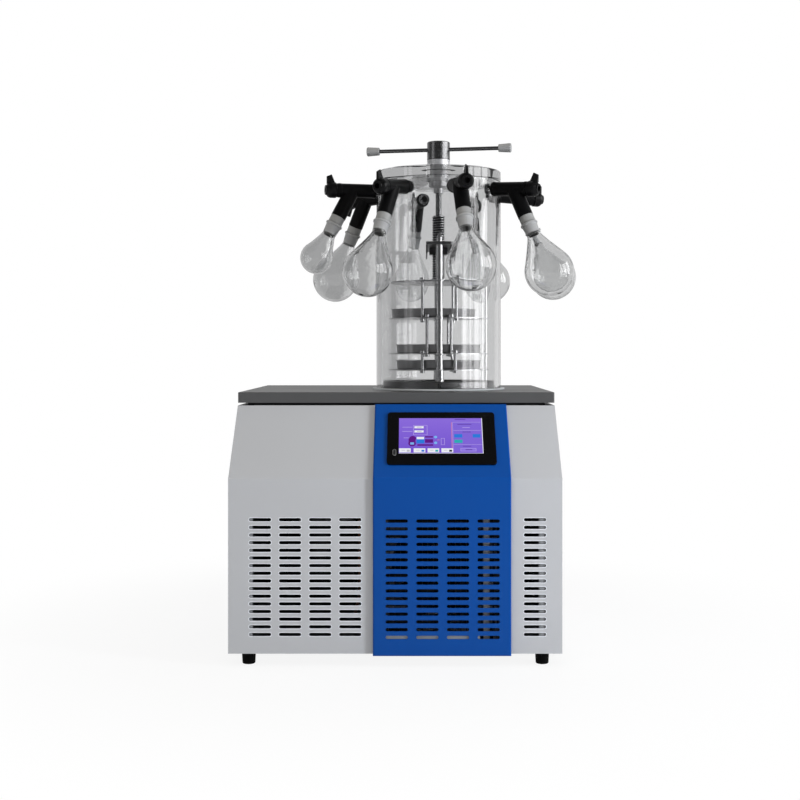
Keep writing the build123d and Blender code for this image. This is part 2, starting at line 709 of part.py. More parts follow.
# Evaporator: copper tube wound round the pot.
EVAPORATOR_R = TRAP_R + COIL_TUBE_R + 0.4
EVAPORATOR_PITCH = 20.0
with BuildPart() as evaporator_coil:
    with BuildLine(deck(-150)) as winding:
        Helix(pitch=EVAPORATOR_PITCH, height=6 * EVAPORATOR_PITCH, radius=EVAPORATOR_R)
    with BuildSketch(Plane(origin=winding.line @ 0, z_dir=winding.line % 0)):
        Circle(COIL_TUBE_R)
    sweep()
save(evaporator_coil.part, "evaporator_coil")

# Insulation: a moulded foam cup round the coil and the pot, pierced by the spigots.
FOAM_R = 148.0
FOAM_IN = EVAPORATOR_R + COIL_TUBE_R + 0.6
with BuildPart() as trap_insulation:
    with BuildSketch(CHAMBER_SECTION):
        Polygon(
            (0, -SPIGOT_LOW + 4),
            (FOAM_R - 12, -SPIGOT_LOW + 4),
            (FOAM_R, -SPIGOT_LOW + 16),
            (FOAM_R, -WORKTOP_SHEET),
            (TRAP_R + 0.3, -WORKTOP_SHEET),
            (TRAP_R + 0.3, -14),
            (FOAM_IN, -18),
            (FOAM_IN, -TRAP_DEEP - TRAP_WALL),
            (0, -TRAP_DEEP - TRAP_WALL),
            align=None,
        )
    revolve(axis=CHAMBER_AXIS)
    with BuildSketch(deck(-SPIGOT_LOW)):
        with Locations((VACUUM_X, 0)):
            Circle(14)
        Circle(6)
    extrude(amount=SPIGOT_LOW - TRAP_DEEP, mode=Mode.SUBTRACT)
save(trap_insulation.part, "trap_insulation")

# Refrigerant lines: discharge, liquid and suction tubes, bent from straight copper.
LINE_R = 3.2
LINE_ROUTES = (
    ((-84.5, 430, 170), (-62, 430, 170), (-62, 150, 170), (-62, 150, 262), (-62, 60, 262)),
    ((-62, 52, 82.5), (-75, 52, 82.5), (-75, 240, 82.5), (-75, 240, 240), (-75, 300, 240)),
    ((-75, 360, 280), (-75, 430, 280), (-160, 430, 280), (-160, 430, 213)),
)
with BuildPart() as refrigerant_lines:
    for route in LINE_ROUTES:
        with BuildLine(level(0)) as tube_path:
            FilletPolyline(*route, radius=9)
        with BuildSketch(Plane(origin=tube_path.line @ 0, z_dir=tube_path.line % 0)):
            Circle(LINE_R)
            Circle(LINE_R - 0.8, mode=Mode.SUBTRACT)
        sweep(path=tube_path.line)
save(refrigerant_lines.part, "refrigerant_lines")

# ======== Vacuum and drain ========

# Vacuum port: bent tube from the pot's spigot to a 40 mm vacuum flange behind the cabinet.
PORT_TUBE_R = 14.0
PORT_BORE_R = 12.7
FLANGE_OUT = 30.0
PORT_END_Y = CABINET_D + FLANGE_OUT
with BuildPart() as vacuum_port:
    with BuildLine(level(0)) as port_path:
        FilletPolyline(
            (BLUE_X + VACUUM_X, 342, DECK_Z - SPIGOT_LOW),
            (BLUE_X + VACUUM_X, 342, VACUUM_Z),
            (BLUE_X + VACUUM_X, PORT_END_Y, VACUUM_Z),
            radius=36,
        )
    with BuildSketch(Plane(origin=port_path.line @ 0, z_dir=port_path.line % 0)):
        Circle(PORT_TUBE_R)
        Circle(PORT_BORE_R, mode=Mode.SUBTRACT)
    sweep(path=port_path.line)
    with BuildSketch(side_section(BLUE_X + VACUUM_X)):
        Polygon(
            (PORT_END_Y, VACUUM_Z + PORT_BORE_R),
            (PORT_END_Y, VACUUM_Z + 20),
            (PORT_END_Y - 3, VACUUM_Z + 20),
            (PORT_END_Y - 4.7, VACUUM_Z + PORT_TUBE_R),
            (PORT_END_Y - 4.7, VACUUM_Z + PORT_BORE_R),
            align=None,
        )
    revolve(axis=Axis((CABINET_X + BLUE_X + VACUUM_X, FRONT_Y, VACUUM_Z), (0, 1, 0)))
save(vacuum_port.part, "vacuum_port")

# Drain valve: tube from the pot, ball valve body and hose nozzle behind the cabinet.
VALVE_Y = CABINET_D + 16.0
STEM_R = 4.0
with BuildPart() as drain_valve_body:
    with BuildLine(level(0)) as drain_path:
        FilletPolyline(
            (BLUE_X, 342, DECK_Z - SPIGOT_LOW),
            (BLUE_X, 342, DRAIN_Z),
            (DRAIN_X, 400, DRAIN_Z),
            (DRAIN_X, CABINET_D + 5, DRAIN_Z),
            radius=24,
        )
    with BuildSketch(Plane(origin=drain_path.line @ 0, z_dir=drain_path.line % 0)):
        Circle(6)
        Circle(4.5, mode=Mode.SUBTRACT)
    sweep(path=drain_path.line)
    with BuildSketch(rear_section(CABINET_D)):
        with Locations((-DRAIN_X, DRAIN_Z)):
            RegularPolygon(12, 6)
            Circle(4.5, mode=Mode.SUBTRACT)
    extrude(amount=4)
    with BuildSketch(rear_section(CABINET_D + 4)):
        with Locations((-DRAIN_X, DRAIN_Z)):
            Circle(11)
    extrude(amount=20)
    with BuildSketch(rear_section(CABINET_D + 24)):
        with Locations((-DRAIN_X, DRAIN_Z)):
            Circle(5)
    extrude(amount=16)
    with BuildSketch(rear_section(CABINET_D + 4)):
        with Locations((-DRAIN_X, DRAIN_Z)):
            Circle(3)
    extrude(amount=40, mode=Mode.SUBTRACT)
    with BuildSketch(level(DRAIN_Z + 5)):
        with Locations((DRAIN_X, VALVE_Y - 2)):
            Circle(7)
    extrude(amount=9)
    with BuildSketch(level(DRAIN_Z + 9)):
        with Locations((DRAIN_X, VALVE_Y - 2)):
            Circle(STEM_R + RUNNING)
    extrude(amount=6, mode=Mode.SUBTRACT)
save(drain_valve_body.part, "drain_valve_body")

# Drain lever: stem and a flat handle lying across the valve while it is shut.
with BuildPart() as drain_valve_handle:
    with BuildSketch(level(DRAIN_Z + 9.4)):
        with Locations((DRAIN_X, VALVE_Y - 2)):
            Circle(STEM_R)
    extrude(amount=5.2)
    with BuildSketch(level(DRAIN_Z + 14.4)):
        with Locations((DRAIN_X, VALVE_Y - 2)):
            Circle(7)
        with Locations((DRAIN_X - 20, VALVE_Y - 2)):
            RectangleRounded(40, 9, 4)
    extrude(amount=4)
    fillet(drain_valve_handle.edges().group_by(Axis.Z)[-1], radius=1)
save(drain_valve_handle.part, "drain_valve_handle")

# ======== Chamber ========

with BuildPart() as base_seal:
    with BuildSketch(CHAMBER_SECTION):
        Polygon(
            (TUBE_IN + 0.5, 0),
            (TUBE_R + 8, 0),
            (TUBE_R + 8, SEAL_T - 1),
            (TUBE_R + 7, SEAL_T),
            (TUBE_IN + 0.5, SEAL_T),
            align=None,
        )
    revolve(axis=CHAMBER_AXIS)
save(base_seal.part, "base_seal")

# Chamber tube: clear cast tube with one hole for each valve's stub.
STUB_HOLE_R = 9.2
with BuildPart() as chamber_tube:
    with BuildSketch(deck(SEAL_T)):
        Circle(TUBE_R)
        Circle(TUBE_IN, mode=Mode.SUBTRACT)
    extrude(amount=LID_LOW - SEAL_T)
    for valve in VALVES:
        port = port_section(valve)
        with BuildSketch(port):
            with Locations((TUBE_IN - 4, 0)):
                Rectangle(TUBE_WALL + 7, STUB_HOLE_R, align=Align.MIN)
        revolve(axis=long_axis(port), mode=Mode.SUBTRACT)
save(chamber_tube.part, "chamber_tube")

# Chamber lid: clear disc with a locating ring below and a hole for the shaft gland.
GLAND_SHANK_R = 17.5
with BuildPart() as chamber_lid:
    with BuildSketch(CHAMBER_SECTION):
        Polygon(
            (GLAND_SHANK_R + 0.1, LID_LOW),
            (TUBE_IN - 9, LID_LOW),
            (TUBE_IN - 9, LID_LOW - 4),
            (TUBE_IN - 0.4, LID_LOW - 4),
            (TUBE_IN - 0.4, LID_LOW),
            (TUBE_R, LID_LOW),
            (TUBE_R, LID_TOP - 1),
            (TUBE_R - 1, LID_TOP),
            (GLAND_SHANK_R + 0.1, LID_TOP),
            align=None,
        )
    revolve(axis=CHAMBER_AXIS)
save(chamber_lid.part, "chamber_lid")

# Trap collar: ring plate over the pot's rim that carries the posts, its skirt split in front.
COLLAR_R = 114.0
with BuildPart() as trap_collar:
    with BuildSketch(CHAMBER_SECTION):
        Polygon(
            (88, COLLAR_TOP - 3),
            (COLLAR_R - 3, COLLAR_TOP - 3),
            (COLLAR_R - 3, TRAP_WALL),
            (COLLAR_R, TRAP_WALL),
            (COLLAR_R, COLLAR_TOP - 1.5),
            (COLLAR_R - 1.5, COLLAR_TOP),
            (88, COLLAR_TOP),
            align=None,
        )
    revolve(axis=CHAMBER_AXIS)
    with BuildSketch(deck(TRAP_WALL)):
        with Locations((0, -COLLAR_R)):
            Rectangle(7, 16)
    extrude(amount=COLLAR_TOP - 3 - TRAP_WALL, mode=Mode.SUBTRACT)
    with BuildSketch(deck(COLLAR_TOP - 3)):
        with Locations(*POST_XY):
            Circle(4)
    extrude(amount=3, mode=Mode.SUBTRACT)
save(trap_collar.part, "trap_collar")

# ======== Flask valves ========

# Port stubs: flanged tubes through the chamber's wall that the valve barrels push onto.
STUB_END = TUBE_R + 25.0
STUB_BORE_R = 6.5
STUB_HEAD = TUBE_IN - 6.2
STUB_HEAD_T = 4.0
STUB_HEAD_R = 11.5
with BuildPart() as port_stubs:
    for valve in VALVES:
        port = port_section(valve)
        with BuildSketch(port):
            Polygon(
                (STUB_HEAD, STUB_BORE_R),
                (STUB_HEAD, STUB_HEAD_R),
                (STUB_HEAD + STUB_HEAD_T, STUB_HEAD_R),
                (STUB_HEAD + STUB_HEAD_T, VALVE_BORE_R),
                (STUB_END, VALVE_BORE_R),
                (STUB_END, STUB_BORE_R),
                align=None,
            )
        revolve(axis=long_axis(port))
save(port_stubs.part, "port_stubs")

# Valve bodies: moulded rubber, a level barrel with a branch dropping to the flask.
ADAPTER_SOCKET = 20.0
PASSAGE_R = 6.0
with BuildPart() as valve_bodies:
    for valve in VALVES:
        barrel = barrel_section(valve)
        branch = branch_section(valve)
        with BuildSketch(barrel):
            Polygon(
                (TUBE_R + 0.05, 0),
                (TUBE_R + 0.05, BARREL_R - 1),
                (TUBE_R + 1.5, BARREL_BEAD_R),
                (TUBE_R + 6, BARREL_BEAD_R),
                (TUBE_R + 7, BARREL_R),
                (BARREL_END - 10, BARREL_R),
                (BARREL_END - 9, BARREL_BEAD_R),
                (BARREL_END - 4, BARREL_BEAD_R),
                (BARREL_END - 3, BARREL_R),
                (BARREL_END, BARREL_R),
                (BARREL_END, 0),
                align=None,
            )
        revolve(axis=long_axis(barrel))
        with BuildSketch(branch):
            Rectangle(BRANCH_L, BRANCH_SKIN_R, align=Align.MIN)
        revolve(axis=long_axis(branch))
    for valve in VALVES:
        barrel = barrel_section(valve)
        branch = branch_section(valve)
        with BuildSketch(barrel):
            with Locations((TUBE_R, 0)):
                Rectangle(BARREL_END - TUBE_R, VALVE_BORE_R, align=Align.MIN)
        revolve(axis=long_axis(barrel), mode=Mode.SUBTRACT)
        with BuildSketch(branch):
            Polygon(
                (0, 0),
                (0, PASSAGE_R),
                (BRANCH_L - ADAPTER_SOCKET, PASSAGE_R),
                (BRANCH_L - ADAPTER_SOCKET, VALVE_BORE_R),
                (BRANCH_L, VALVE_BORE_R),
                (BRANCH_L, 0),
                align=None,
            )
        revolve(axis=long_axis(branch), mode=Mode.SUBTRACT)
save(valve_bodies.part, "valve_bodies")

# Valve knobs: a hollow rotor in the barrel, a cap with a vent nozzle and an upright fin.
KNOB_START = BARREL_END + 0.4
KNOB_END = KNOB_START + KNOB_L
NOZZLE_R = 9.6
NOZZLE_BORE_R = 5.5
NOZZLE_END = KNOB_END + 2.2
ROTOR_START = STUB_END + 2
ROTOR_BORE_END = BRANCH_R + 17
FIN_LOW = KNOB_R - 3
FIN_TOP = KNOB_R + 16.0
FIN_T = 6.0
FIN_TIP_T = 3.2


def make_fin(barrel):
    """Upright fin along a knob: its outline from the side, thinned towards the tip."""
    across = Plane(origin=barrel.origin, x_dir=-barrel.z_dir, z_dir=barrel.x_dir)
    with BuildPart() as fin:
        with BuildSketch(barrel):
            Polygon(
                (KNOB_START + 1.5, FIN_LOW),
                (KNOB_START + 9, FIN_TOP),
                (KNOB_END - 1, FIN_TOP - 4),
                (KNOB_END - 1, FIN_LOW),
                align=None,
            )
        extrude(amount=FIN_T / 2, both=True)
        with BuildSketch(across.offset(KNOB_START)):
            Polygon(
                (-FIN_T / 2, FIN_LOW),
                (FIN_T / 2, FIN_LOW),
                (FIN_TIP_T / 2, FIN_TOP),
                (-FIN_TIP_T / 2, FIN_TOP),
                align=None,
            )
        extrude(amount=KNOB_L, mode=Mode.INTERSECT)
        fillet(fin.faces().sort_by(Axis.Z)[-1].edges(), radius=0.8)
    return fin.part


for number, valve in enumerate(VALVES, start=1):
    barrel = barrel_section(valve)
    branch = branch_section(valve)
    upright_fin = make_fin(barrel)
    with BuildPart() as knob:
        with BuildSketch(barrel):
            Polygon(
                (ROTOR_START, PASSAGE_R),
                (ROTOR_START, VALVE_BORE_R - RUNNING),
                (KNOB_START, VALVE_BORE_R - RUNNING),
                (KNOB_START, KNOB_R - 1.2),
                (KNOB_START + 1.2, KNOB_R),
                (KNOB_END - 8, KNOB_R),
                (KNOB_END - 4, KNOB_R - 1.5),
                (KNOB_END - 1.5, KNOB_R - 4),
                (KNOB_END, NOZZLE_R + 0.4),
                (NOZZLE_END, NOZZLE_R),
                (NOZZLE_END, NOZZLE_BORE_R),
                (KNOB_END - 8, NOZZLE_BORE_R),
                (KNOB_END - 8, 0),
                (ROTOR_BORE_END, 0),
                (ROTOR_BORE_END, PASSAGE_R),
                align=None,
            )
        revolve(axis=long_axis(barrel))
        add(upright_fin)
        with BuildSketch(branch):
            Rectangle(BARREL_R - 2, PASSAGE_R, align=Align.MIN)
        revolve(axis=long_axis(branch), mode=Mode.SUBTRACT)
    rest_turn = 180 if valve == TURNED_VALVE else 0
    save(knob.part.rotate(long_axis(barrel), rest_turn), f"valve_knob_{number}")

# Flask adapters: pale plastic, a spigot in the branch and a taper in the flask's neck.
SLEEVE_R = BRANCH_SKIN_R - 0.6
TAPER_R = 12.4
TAPER_END_R = 10.9
TAPER_L = 27.5
with BuildPart() as flask_adapters:
    for valve in VALVES:
        branch = branch_section(valve)
        with BuildSketch(branch):
            Polygon(
                (BRANCH_L - ADAPTER_SOCKET, 6),
                (BRANCH_L - ADAPTER_SOCKET, VALVE_BORE_R),
                (BRANCH_L, VALVE_BORE_R),
                (BRANCH_L, SLEEVE_R),
                (NECK_START - 1, SLEEVE_R),
                (NECK_START - 1, TAPER_R + 0.15),
                (NECK_START, TAPER_R + 0.15),
                (NECK_START, TAPER_R),
                (NECK_START + TAPER_L, TAPER_END_R),
                (NECK_START + TAPER_L, 9),
                (NECK_START, 9),
                (NECK_START - 6, 6),
                align=None,
            )
        revolve(axis=long_axis(branch))
save(flask_adapters.part, "flask_adapters")


# Flasks: pear bulbs whose neck has a rolled lip and slips over the adapter's taper.
LIP_R = 17.2
NECK_END_R = 13.4


def flask_section(branch, bulb_r, bulb_at):
    """Half section of one flask along its branch: beaded neck, pear bulb, even wall."""
    blend = radians(62)
    inner_neck = NECK_START + TAPER_L
    inner_neck_r = TAPER_END_R + 0.1
    with BuildSketch(branch) as section:
        with BuildLine():
            for skin_r, start, start_r in (
                (bulb_r, NECK_END, NECK_END_R),
                (bulb_r - FLASK_WALL, inner_neck, inner_neck_r),
            ):
                meet = (bulb_at - skin_r * cos(blend), skin_r * sin(blend))
                reach = meet[0] - start
                Bezier(
                    (start, start_r),
                    (start + 0.30 * reach, start_r + 0.10 * reach),
                    (meet[0] - 0.38 * reach * sin(blend), meet[1] - 0.38 * reach * cos(blend)),
                    meet,
                )
                belly = (bulb_at + skin_r * sin(0.3), skin_r * cos(0.3))
                ThreePointArc(meet, belly, (bulb_at + skin_r, 0))
            Line((bulb_at + bulb_r, 0), (bulb_at + bulb_r - FLASK_WALL, 0))
            Polyline(
                (inner_neck, inner_neck_r),
                (NECK_START, TAPER_R + 0.1),
                (NECK_START, LIP_R - 1),
                (NECK_START + 1, LIP_R),
                (NECK_START + 3.8, LIP_R),
                (NECK_START + 5.2, LIP_R - 1.9),
                (NECK_END, NECK_END_R),
            )
        make_face()
    return section.sketch


with BuildPart() as large_flasks:
    for valve in VALVES:
        if valve != SMALL_VALVE:
            branch = branch_section(valve)
            revolve(flask_section(branch, LARGE_BULB_R, LARGE_BULB_AT), axis=long_axis(branch))
save(large_flasks.part, "large_flasks")

with BuildPart() as small_flask:
    branch = branch_section(SMALL_VALVE)
    revolve(flask_section(branch, SMALL_BULB_R, SMALL_BULB_AT), axis=long_axis(branch))
save(small_flask.part, "small_flask")

# ======== Press and handle ========

# Gland: turned body through the lid with its round nut below, one bore for the shaft.
GLAND_R = 23.5
GLAND_TOP = 471.0
with BuildPart() as gland:
    with BuildSketch(CHAMBER_SECTION):
        Polygon(
            (SHAFT_R + RUNNING, 403),
            (10, 403),
            (10, LID_LOW - 12),
            (GLAND_SHANK_R, LID_LOW - 10),
            (GLAND_SHANK_R, LID_TOP),
            (GLAND_R, LID_TOP),
            (GLAND_R, 456),
            (GLAND_R - 0.8, 456.5),
            (GLAND_R - 0.8, 458),
            (GLAND_R, 458.5),
            (GLAND_R, 465),
            (GLAND_R - 0.8, 465.5),
            (GLAND_R - 0.8, 467),
            (GLAND_R, 467.5),
            (GLAND_R, GLAND_TOP),
            (SHAFT_R + RUNNING, GLAND_TOP),
            align=None,
        )
    revolve(axis=CHAMBER_AXIS)
    with BuildSketch(CHAMBER_SECTION):
        Polygon(
            (GLAND_SHANK_R, LID_LOW - 9.5),
            (19, LID_LOW - 9.5),
            (20, LID_LOW - 8.5),
            (20, LID_LOW),
            (GLAND_SHANK_R, LID_LOW),
            align=None,
        )
    revolve(axis=CHAMBER_AXIS)
save(gland.part, "gland")

# Handle hub: turned head and its long shaft, ending in a hexagon that drives the screw.
HUB_LOW = 471.4
HUB_TOP = 508.5
BAR_H = 493.0
BAR_R = 4.0
HEX_FLAT = 5.8
bar_turn = radians(HANDLE_TURN)
bar_plane = Plane(
    origin=(CHAMBER_X, CHAMBER_Y, DECK_Z + BAR_H),
    x_dir=(cos(bar_turn), -sin(bar_turn), 0),
    z_dir=(sin(bar_turn), cos(bar_turn), 0),
)
with BuildPart() as handle_hub:
    with BuildSketch(CHAMBER_SECTION):
        Polygon(
            (0, 350),
            (SHAFT_R - 0.5, 350),
            (SHAFT_R, 350.5),
            (SHAFT_R, HUB_LOW),
            (GLAND_R - 0.5, HUB_LOW),
            (GLAND_R, HUB_LOW + 0.5),
            (GLAND_R, HUB_TOP - 1.5),
            (GLAND_R - 1.5, HUB_TOP),
            (0, HUB_TOP),
            align=None,
        )
    revolve(axis=CHAMBER_AXIS)
    with BuildSketch(deck(246)):
        RegularPolygon(HEX_FLAT, 6, major_radius=False)
    extrude(amount=350 - 246)
    with BuildSketch(bar_plane):
        Polygon((-30, 0), (-30, BAR_R), (30, BAR_R), (30, 0), align=None)
    revolve(axis=long_axis(bar_plane), mode=Mode.SUBTRACT)
save(handle_hub.part, "handle_hub")

CAP_INNER = 124.5
CAP_OUTER = 150.5
BAR_END = 146.0
with BuildPart() as handle_bar:
    with BuildSketch(bar_plane):
        Polygon(
            (-BAR_END, 0),
            (-BAR_END, BAR_R - 0.5),
            (0.5 - BAR_END, BAR_R),
            (BAR_END - 0.5, BAR_R),
            (BAR_END, BAR_R - 0.5),
            (BAR_END, 0),
            align=None,
        )
    revolve(axis=long_axis(bar_plane))
save(handle_bar.part, "handle_bar")

with BuildPart() as handle_caps:
    with BuildSketch(bar_plane):
        for side in (-1, 1):
            Polygon(
                (side * CAP_INNER, BAR_R),
                (side * CAP_INNER, 7.2),
                (side * (CAP_INNER + 1), 8),
                (side * (CAP_OUTER - 1.5), 9.5),
                (side * CAP_OUTER, 8.2),
                (side * CAP_OUTER, 0),
                (side * BAR_END, 0),
                (side * BAR_END, BAR_R),
                align=None,
            )
    revolve(axis=long_axis(bar_plane))
save(handle_caps.part, "handle_caps")

# Yoke: channel plate bridging the two posts, with the fixed nut under its middle.
with BuildPart() as yoke:
    with BuildSketch(deck(YOKE_LOW)):
        RectangleRounded(52, 214, 6)
    extrude(amount=YOKE_T)
    with BuildSketch(deck(YOKE_LOW)):
        for side in (-1, 1):
            with Locations((side * 24.5, 0)):
                Rectangle(3, 160)
    extrude(amount=-17)
    with BuildSketch(deck(YOKE_LOW)):
        Circle(SCREW_R + CLEAR)
        with Locations(*POST_XY):
            Circle(5.6)
    extrude(amount=YOKE_T, mode=Mode.SUBTRACT)
save(yoke.part, "yoke")

NUT_LOW = 276.0
NUT_FLAT = 19.0
with BuildPart() as screw_nut:
    with BuildSketch(deck(NUT_LOW)):
        RegularPolygon(NUT_FLAT, 6, major_radius=False, rotation=30)
        Circle(SCREW_R + RUNNING, mode=Mode.SUBTRACT)
    extrude(amount=YOKE_LOW - NUT_LOW)
save(screw_nut.part, "screw_nut")

# Press screw: hollow trapezoidal screw, journalled in the plate's boss.
JOURNAL_R = 7.0
HEX_SOCKET = 6.3
with BuildPart() as press_screw:
    with BuildSketch(CHAMBER_SECTION):
        Polygon(
            (0, PLATE_TOP + 0.3),
            (JOURNAL_R, PLATE_TOP + 0.3),
            (JOURNAL_R, SCREW_LOW - 2),
            (SCREW_R, SCREW_LOW + 1),
            (SCREW_R, SCREW_TOP - 1),
            (SCREW_R - 1, SCREW_TOP),
            (0, SCREW_TOP),
            align=None,
        )
    revolve(axis=CHAMBER_AXIS)
    with BuildSketch(deck(242)):
        RegularPolygon(HEX_SOCKET, 6, major_radius=False)
    extrude(amount=SCREW_TOP - 242, mode=Mode.SUBTRACT)
save(press_screw.part, "press_screw")

# Posts: turned, with a pin in the collar, a wide foot and a conical top above the yoke.
with BuildPart() as stand_posts:
    for post_y in (-POST_RAD, POST_RAD):
        post_plane = Plane(
            origin=(CHAMBER_X, CHAMBER_Y + post_y, DECK_Z), x_dir=(1, 0, 0), z_dir=(0, -1, 0)
        )
        with BuildSketch(post_plane):
            Polygon(
                (0, TRAP_WALL),
                (4, TRAP_WALL),
                (4, COLLAR_TOP),
                (9, COLLAR_TOP),
                (9, SHELF_TOPS[2] - SHELF_T),
                (POST_R, SHELF_TOPS[2] - SHELF_T),
                (POST_R, YOKE_LOW),
                (5.5, YOKE_LOW),
                (5.5, YOKE_LOW + YOKE_T + 9),
                (2, YOKE_LOW + YOKE_T + 16),
                (0, YOKE_LOW + YOKE_T + 17),
                align=None,
            )
        revolve(axis=Axis(post_plane.origin, (0, 0, 1)))
    with BuildSketch(deck(COLLAR_TOP)):
        with Locations((GUIDE_X, 0)):
            Circle(GUIDE_R)
    extrude(amount=PLATE_TOP + 6 - COLLAR_TOP)
save(stand_posts.part, "stand_posts")


def rod_spots(*offsets):
    """Front and back places of the hanger rods that stand at the given x offsets."""
    return tuple((x, side * (ROD_RAD**2 - x**2) ** 0.5) for x in offsets for side in (-1, 1))


RODS_1 = rod_spots(-33, 33)
RODS_2 = rod_spots(-24, 23)
RODS_3 = rod_spots(-33, 31)

# Press plate: steel disc with the screw's boss and clear holes for posts and rods.
BOSS_R = 17.0
with BuildPart() as press_plate:
    with BuildSketch(deck(PLATE_LOW)):
        Circle(PLATE_R)
        with Locations(*POST_XY):
            Circle(BUSH_R)
    extrude(amount=PLATE_T)
    with BuildSketch(deck(PLATE_TOP)):
        Circle(BOSS_R)
    extrude(amount=6)
    with BuildSketch(deck(PLATE_TOP)):
        Circle(JOURNAL_R + RUNNING)
    extrude(amount=6, mode=Mode.SUBTRACT)
    with BuildSketch(deck(PLATE_LOW)):
        with Locations(*POST_XY):
            Circle(POST_R + CLEAR)
        with Locations(*RODS_1):
            Circle(ROD_R + CLEAR)
        with Locations((GUIDE_X, 0)):
            Circle(GUIDE_R + CLEAR)
    extrude(amount=PLATE_T, mode=Mode.SUBTRACT)
save(press_plate.part, "press_plate")


def make_shelf(top, bush, fixed, sliding):
    """Steel shelf with post bushes below it and holes for the rods it holds and lets slide."""
    with BuildPart() as shelf:
        with BuildSketch(deck(top)):
            Circle(SHELF_R)
        extrude(amount=-SHELF_T)
        with BuildSketch(deck(top)):
            with Locations(*POST_XY):
                Circle(BUSH_R)
        extrude(amount=-bush)
        with BuildSketch(deck(top)):
            with Locations(*POST_XY):
                Circle(POST_R + CLEAR)
            with Locations((GUIDE_X, 0)):
                Circle(GUIDE_R + CLEAR)
            with Locations(*fixed):
                Circle(ROD_R)
            if sliding:
                with Locations(*sliding):
                    Circle(ROD_R + CLEAR)
        extrude(amount=-bush, mode=Mode.SUBTRACT)
    return shelf.part


save(make_shelf(SHELF_TOPS[0], BUSH_L, RODS_1, RODS_2), "shelf_1")
save(make_shelf(SHELF_TOPS[1], BUSH_L, RODS_2, RODS_3), "shelf_2")
save(make_shelf(SHELF_TOPS[2], SHELF_T, RODS_3, ()), "shelf_3")


def make_hangers(spots, shelf_top, upper_top):
    """Rods fixed under one shelf and hanging by their heads on the plate above it."""
    head_low = upper_top + 0.3
    with BuildPart() as hangers:
        with BuildSketch(deck(shelf_top - SHELF_T - NUT_T)):
            with Locations(*spots):
                Circle(ROD_R)
        extrude(amount=head_low + NUT_T - shelf_top + SHELF_T + NUT_T)
        with BuildSketch(deck(shelf_top - SHELF_T)):
            with Locations(*spots):
                Circle(NUT_R)
        extrude(amount=-NUT_T)
        with BuildSketch(deck(head_low)):
            with Locations(*spots):
                Circle(NUT_R)
        extrude(amount=NUT_T)
    return hangers.part


save(make_hangers(RODS_1, SHELF_TOPS[0], PLATE_TOP), "hangers_1")
save(make_hangers(RODS_2, SHELF_TOPS[1], SHELF_TOPS[0]), "hangers_2")
save(make_hangers(RODS_3, SHELF_TOPS[2], SHELF_TOPS[1]), "hangers_3")


def make_tray(top, shift):
    """Shallow spun tray with a slight taper and a turned-out rim, standing on a shelf."""
    tray_foot = (CHAMBER_X + shift, CHAMBER_Y, DECK_Z + top)
    tray_plane = Plane(origin=tray_foot, x_dir=(1, 0, 0), z_dir=(0, -1, 0))
    with BuildPart() as tray:
        with BuildSketch(tray_plane):
            Polygon(
                (0, 0),
                (TRAY_R - 4, 0),
                (TRAY_R - 2.5, 1.5),
                (TRAY_R - 1.2, TRAY_H - 1),
                (TRAY_R, TRAY_H - 1),
                (TRAY_R, TRAY_H),
                (TRAY_R - 2.2, TRAY_H),
                (TRAY_R - 3.5, 2),
                (TRAY_R - 4.5, 1),
                (0, 1),
                align=None,
            )
        revolve(axis=Axis(tray_plane.origin, (0, 0, 1)))
    return tray.part


save(make_tray(SHELF_TOPS[0], -10), "tray_1")
save(make_tray(SHELF_TOPS[1], 0), "tray_2")
save(make_tray(SHELF_TOPS[2], 0), "tray_3")
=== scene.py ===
# %% [markdown]
# # A bench freeze dryer, finished in Blender
# The machine is a painted steel cabinet with a refrigerated pot sunk in its worktop.
# A clear chamber stands on the worktop, with a shelf stand and a screw press inside
# and eight rubber valves round it, each carrying a glass flask.
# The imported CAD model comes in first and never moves. Everything below either gives
# a CAD part its finish or adds a piece that CAD left plain.

# %% Load the frame
from math import cos, pi, radians, sin

import bpy
from mathutils import Matrix, Vector


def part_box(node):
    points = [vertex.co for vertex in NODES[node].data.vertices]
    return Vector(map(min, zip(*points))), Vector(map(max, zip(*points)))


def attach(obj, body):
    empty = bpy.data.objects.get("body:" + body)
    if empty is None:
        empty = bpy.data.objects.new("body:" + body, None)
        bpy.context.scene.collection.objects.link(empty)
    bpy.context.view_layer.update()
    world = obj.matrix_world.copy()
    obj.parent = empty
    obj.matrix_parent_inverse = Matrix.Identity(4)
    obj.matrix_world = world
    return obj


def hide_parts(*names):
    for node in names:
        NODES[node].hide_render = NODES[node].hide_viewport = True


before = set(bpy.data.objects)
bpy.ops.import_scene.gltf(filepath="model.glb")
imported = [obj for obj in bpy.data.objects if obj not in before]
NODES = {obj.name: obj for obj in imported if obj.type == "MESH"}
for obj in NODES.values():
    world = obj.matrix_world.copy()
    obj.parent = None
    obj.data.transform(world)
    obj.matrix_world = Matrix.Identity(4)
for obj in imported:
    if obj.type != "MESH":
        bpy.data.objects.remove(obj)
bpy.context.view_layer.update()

# %% [markdown]
# ## Places that several pieces share
# On the real machine the chamber's centre line is the datum for the stand, the press
# and the valves. Reading it from the CAD boxes keeps every added piece true to the part.

# %% Datum of the chamber and the cabinet
tube_low, tube_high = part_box("chamber_tube")
AXIS_X = (tube_low.x + tube_high.x) / 2
AXIS_Y = (tube_low.y + tube_high.y) / 2
DECK_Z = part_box("worktop")[1].z
PANEL_LOW, PANEL_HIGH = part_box("front_panel")
FRONT_Y = PANEL_LOW.y
CABINET_X = (PANEL_LOW.x + PANEL_HIGH.x) / 2
BLUE_LOW, BLUE_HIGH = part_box("blue_front_panel")
print("chamber axis:", round(AXIS_X, 4), round(AXIS_Y, 4), "deck:", round(DECK_Z, 4))

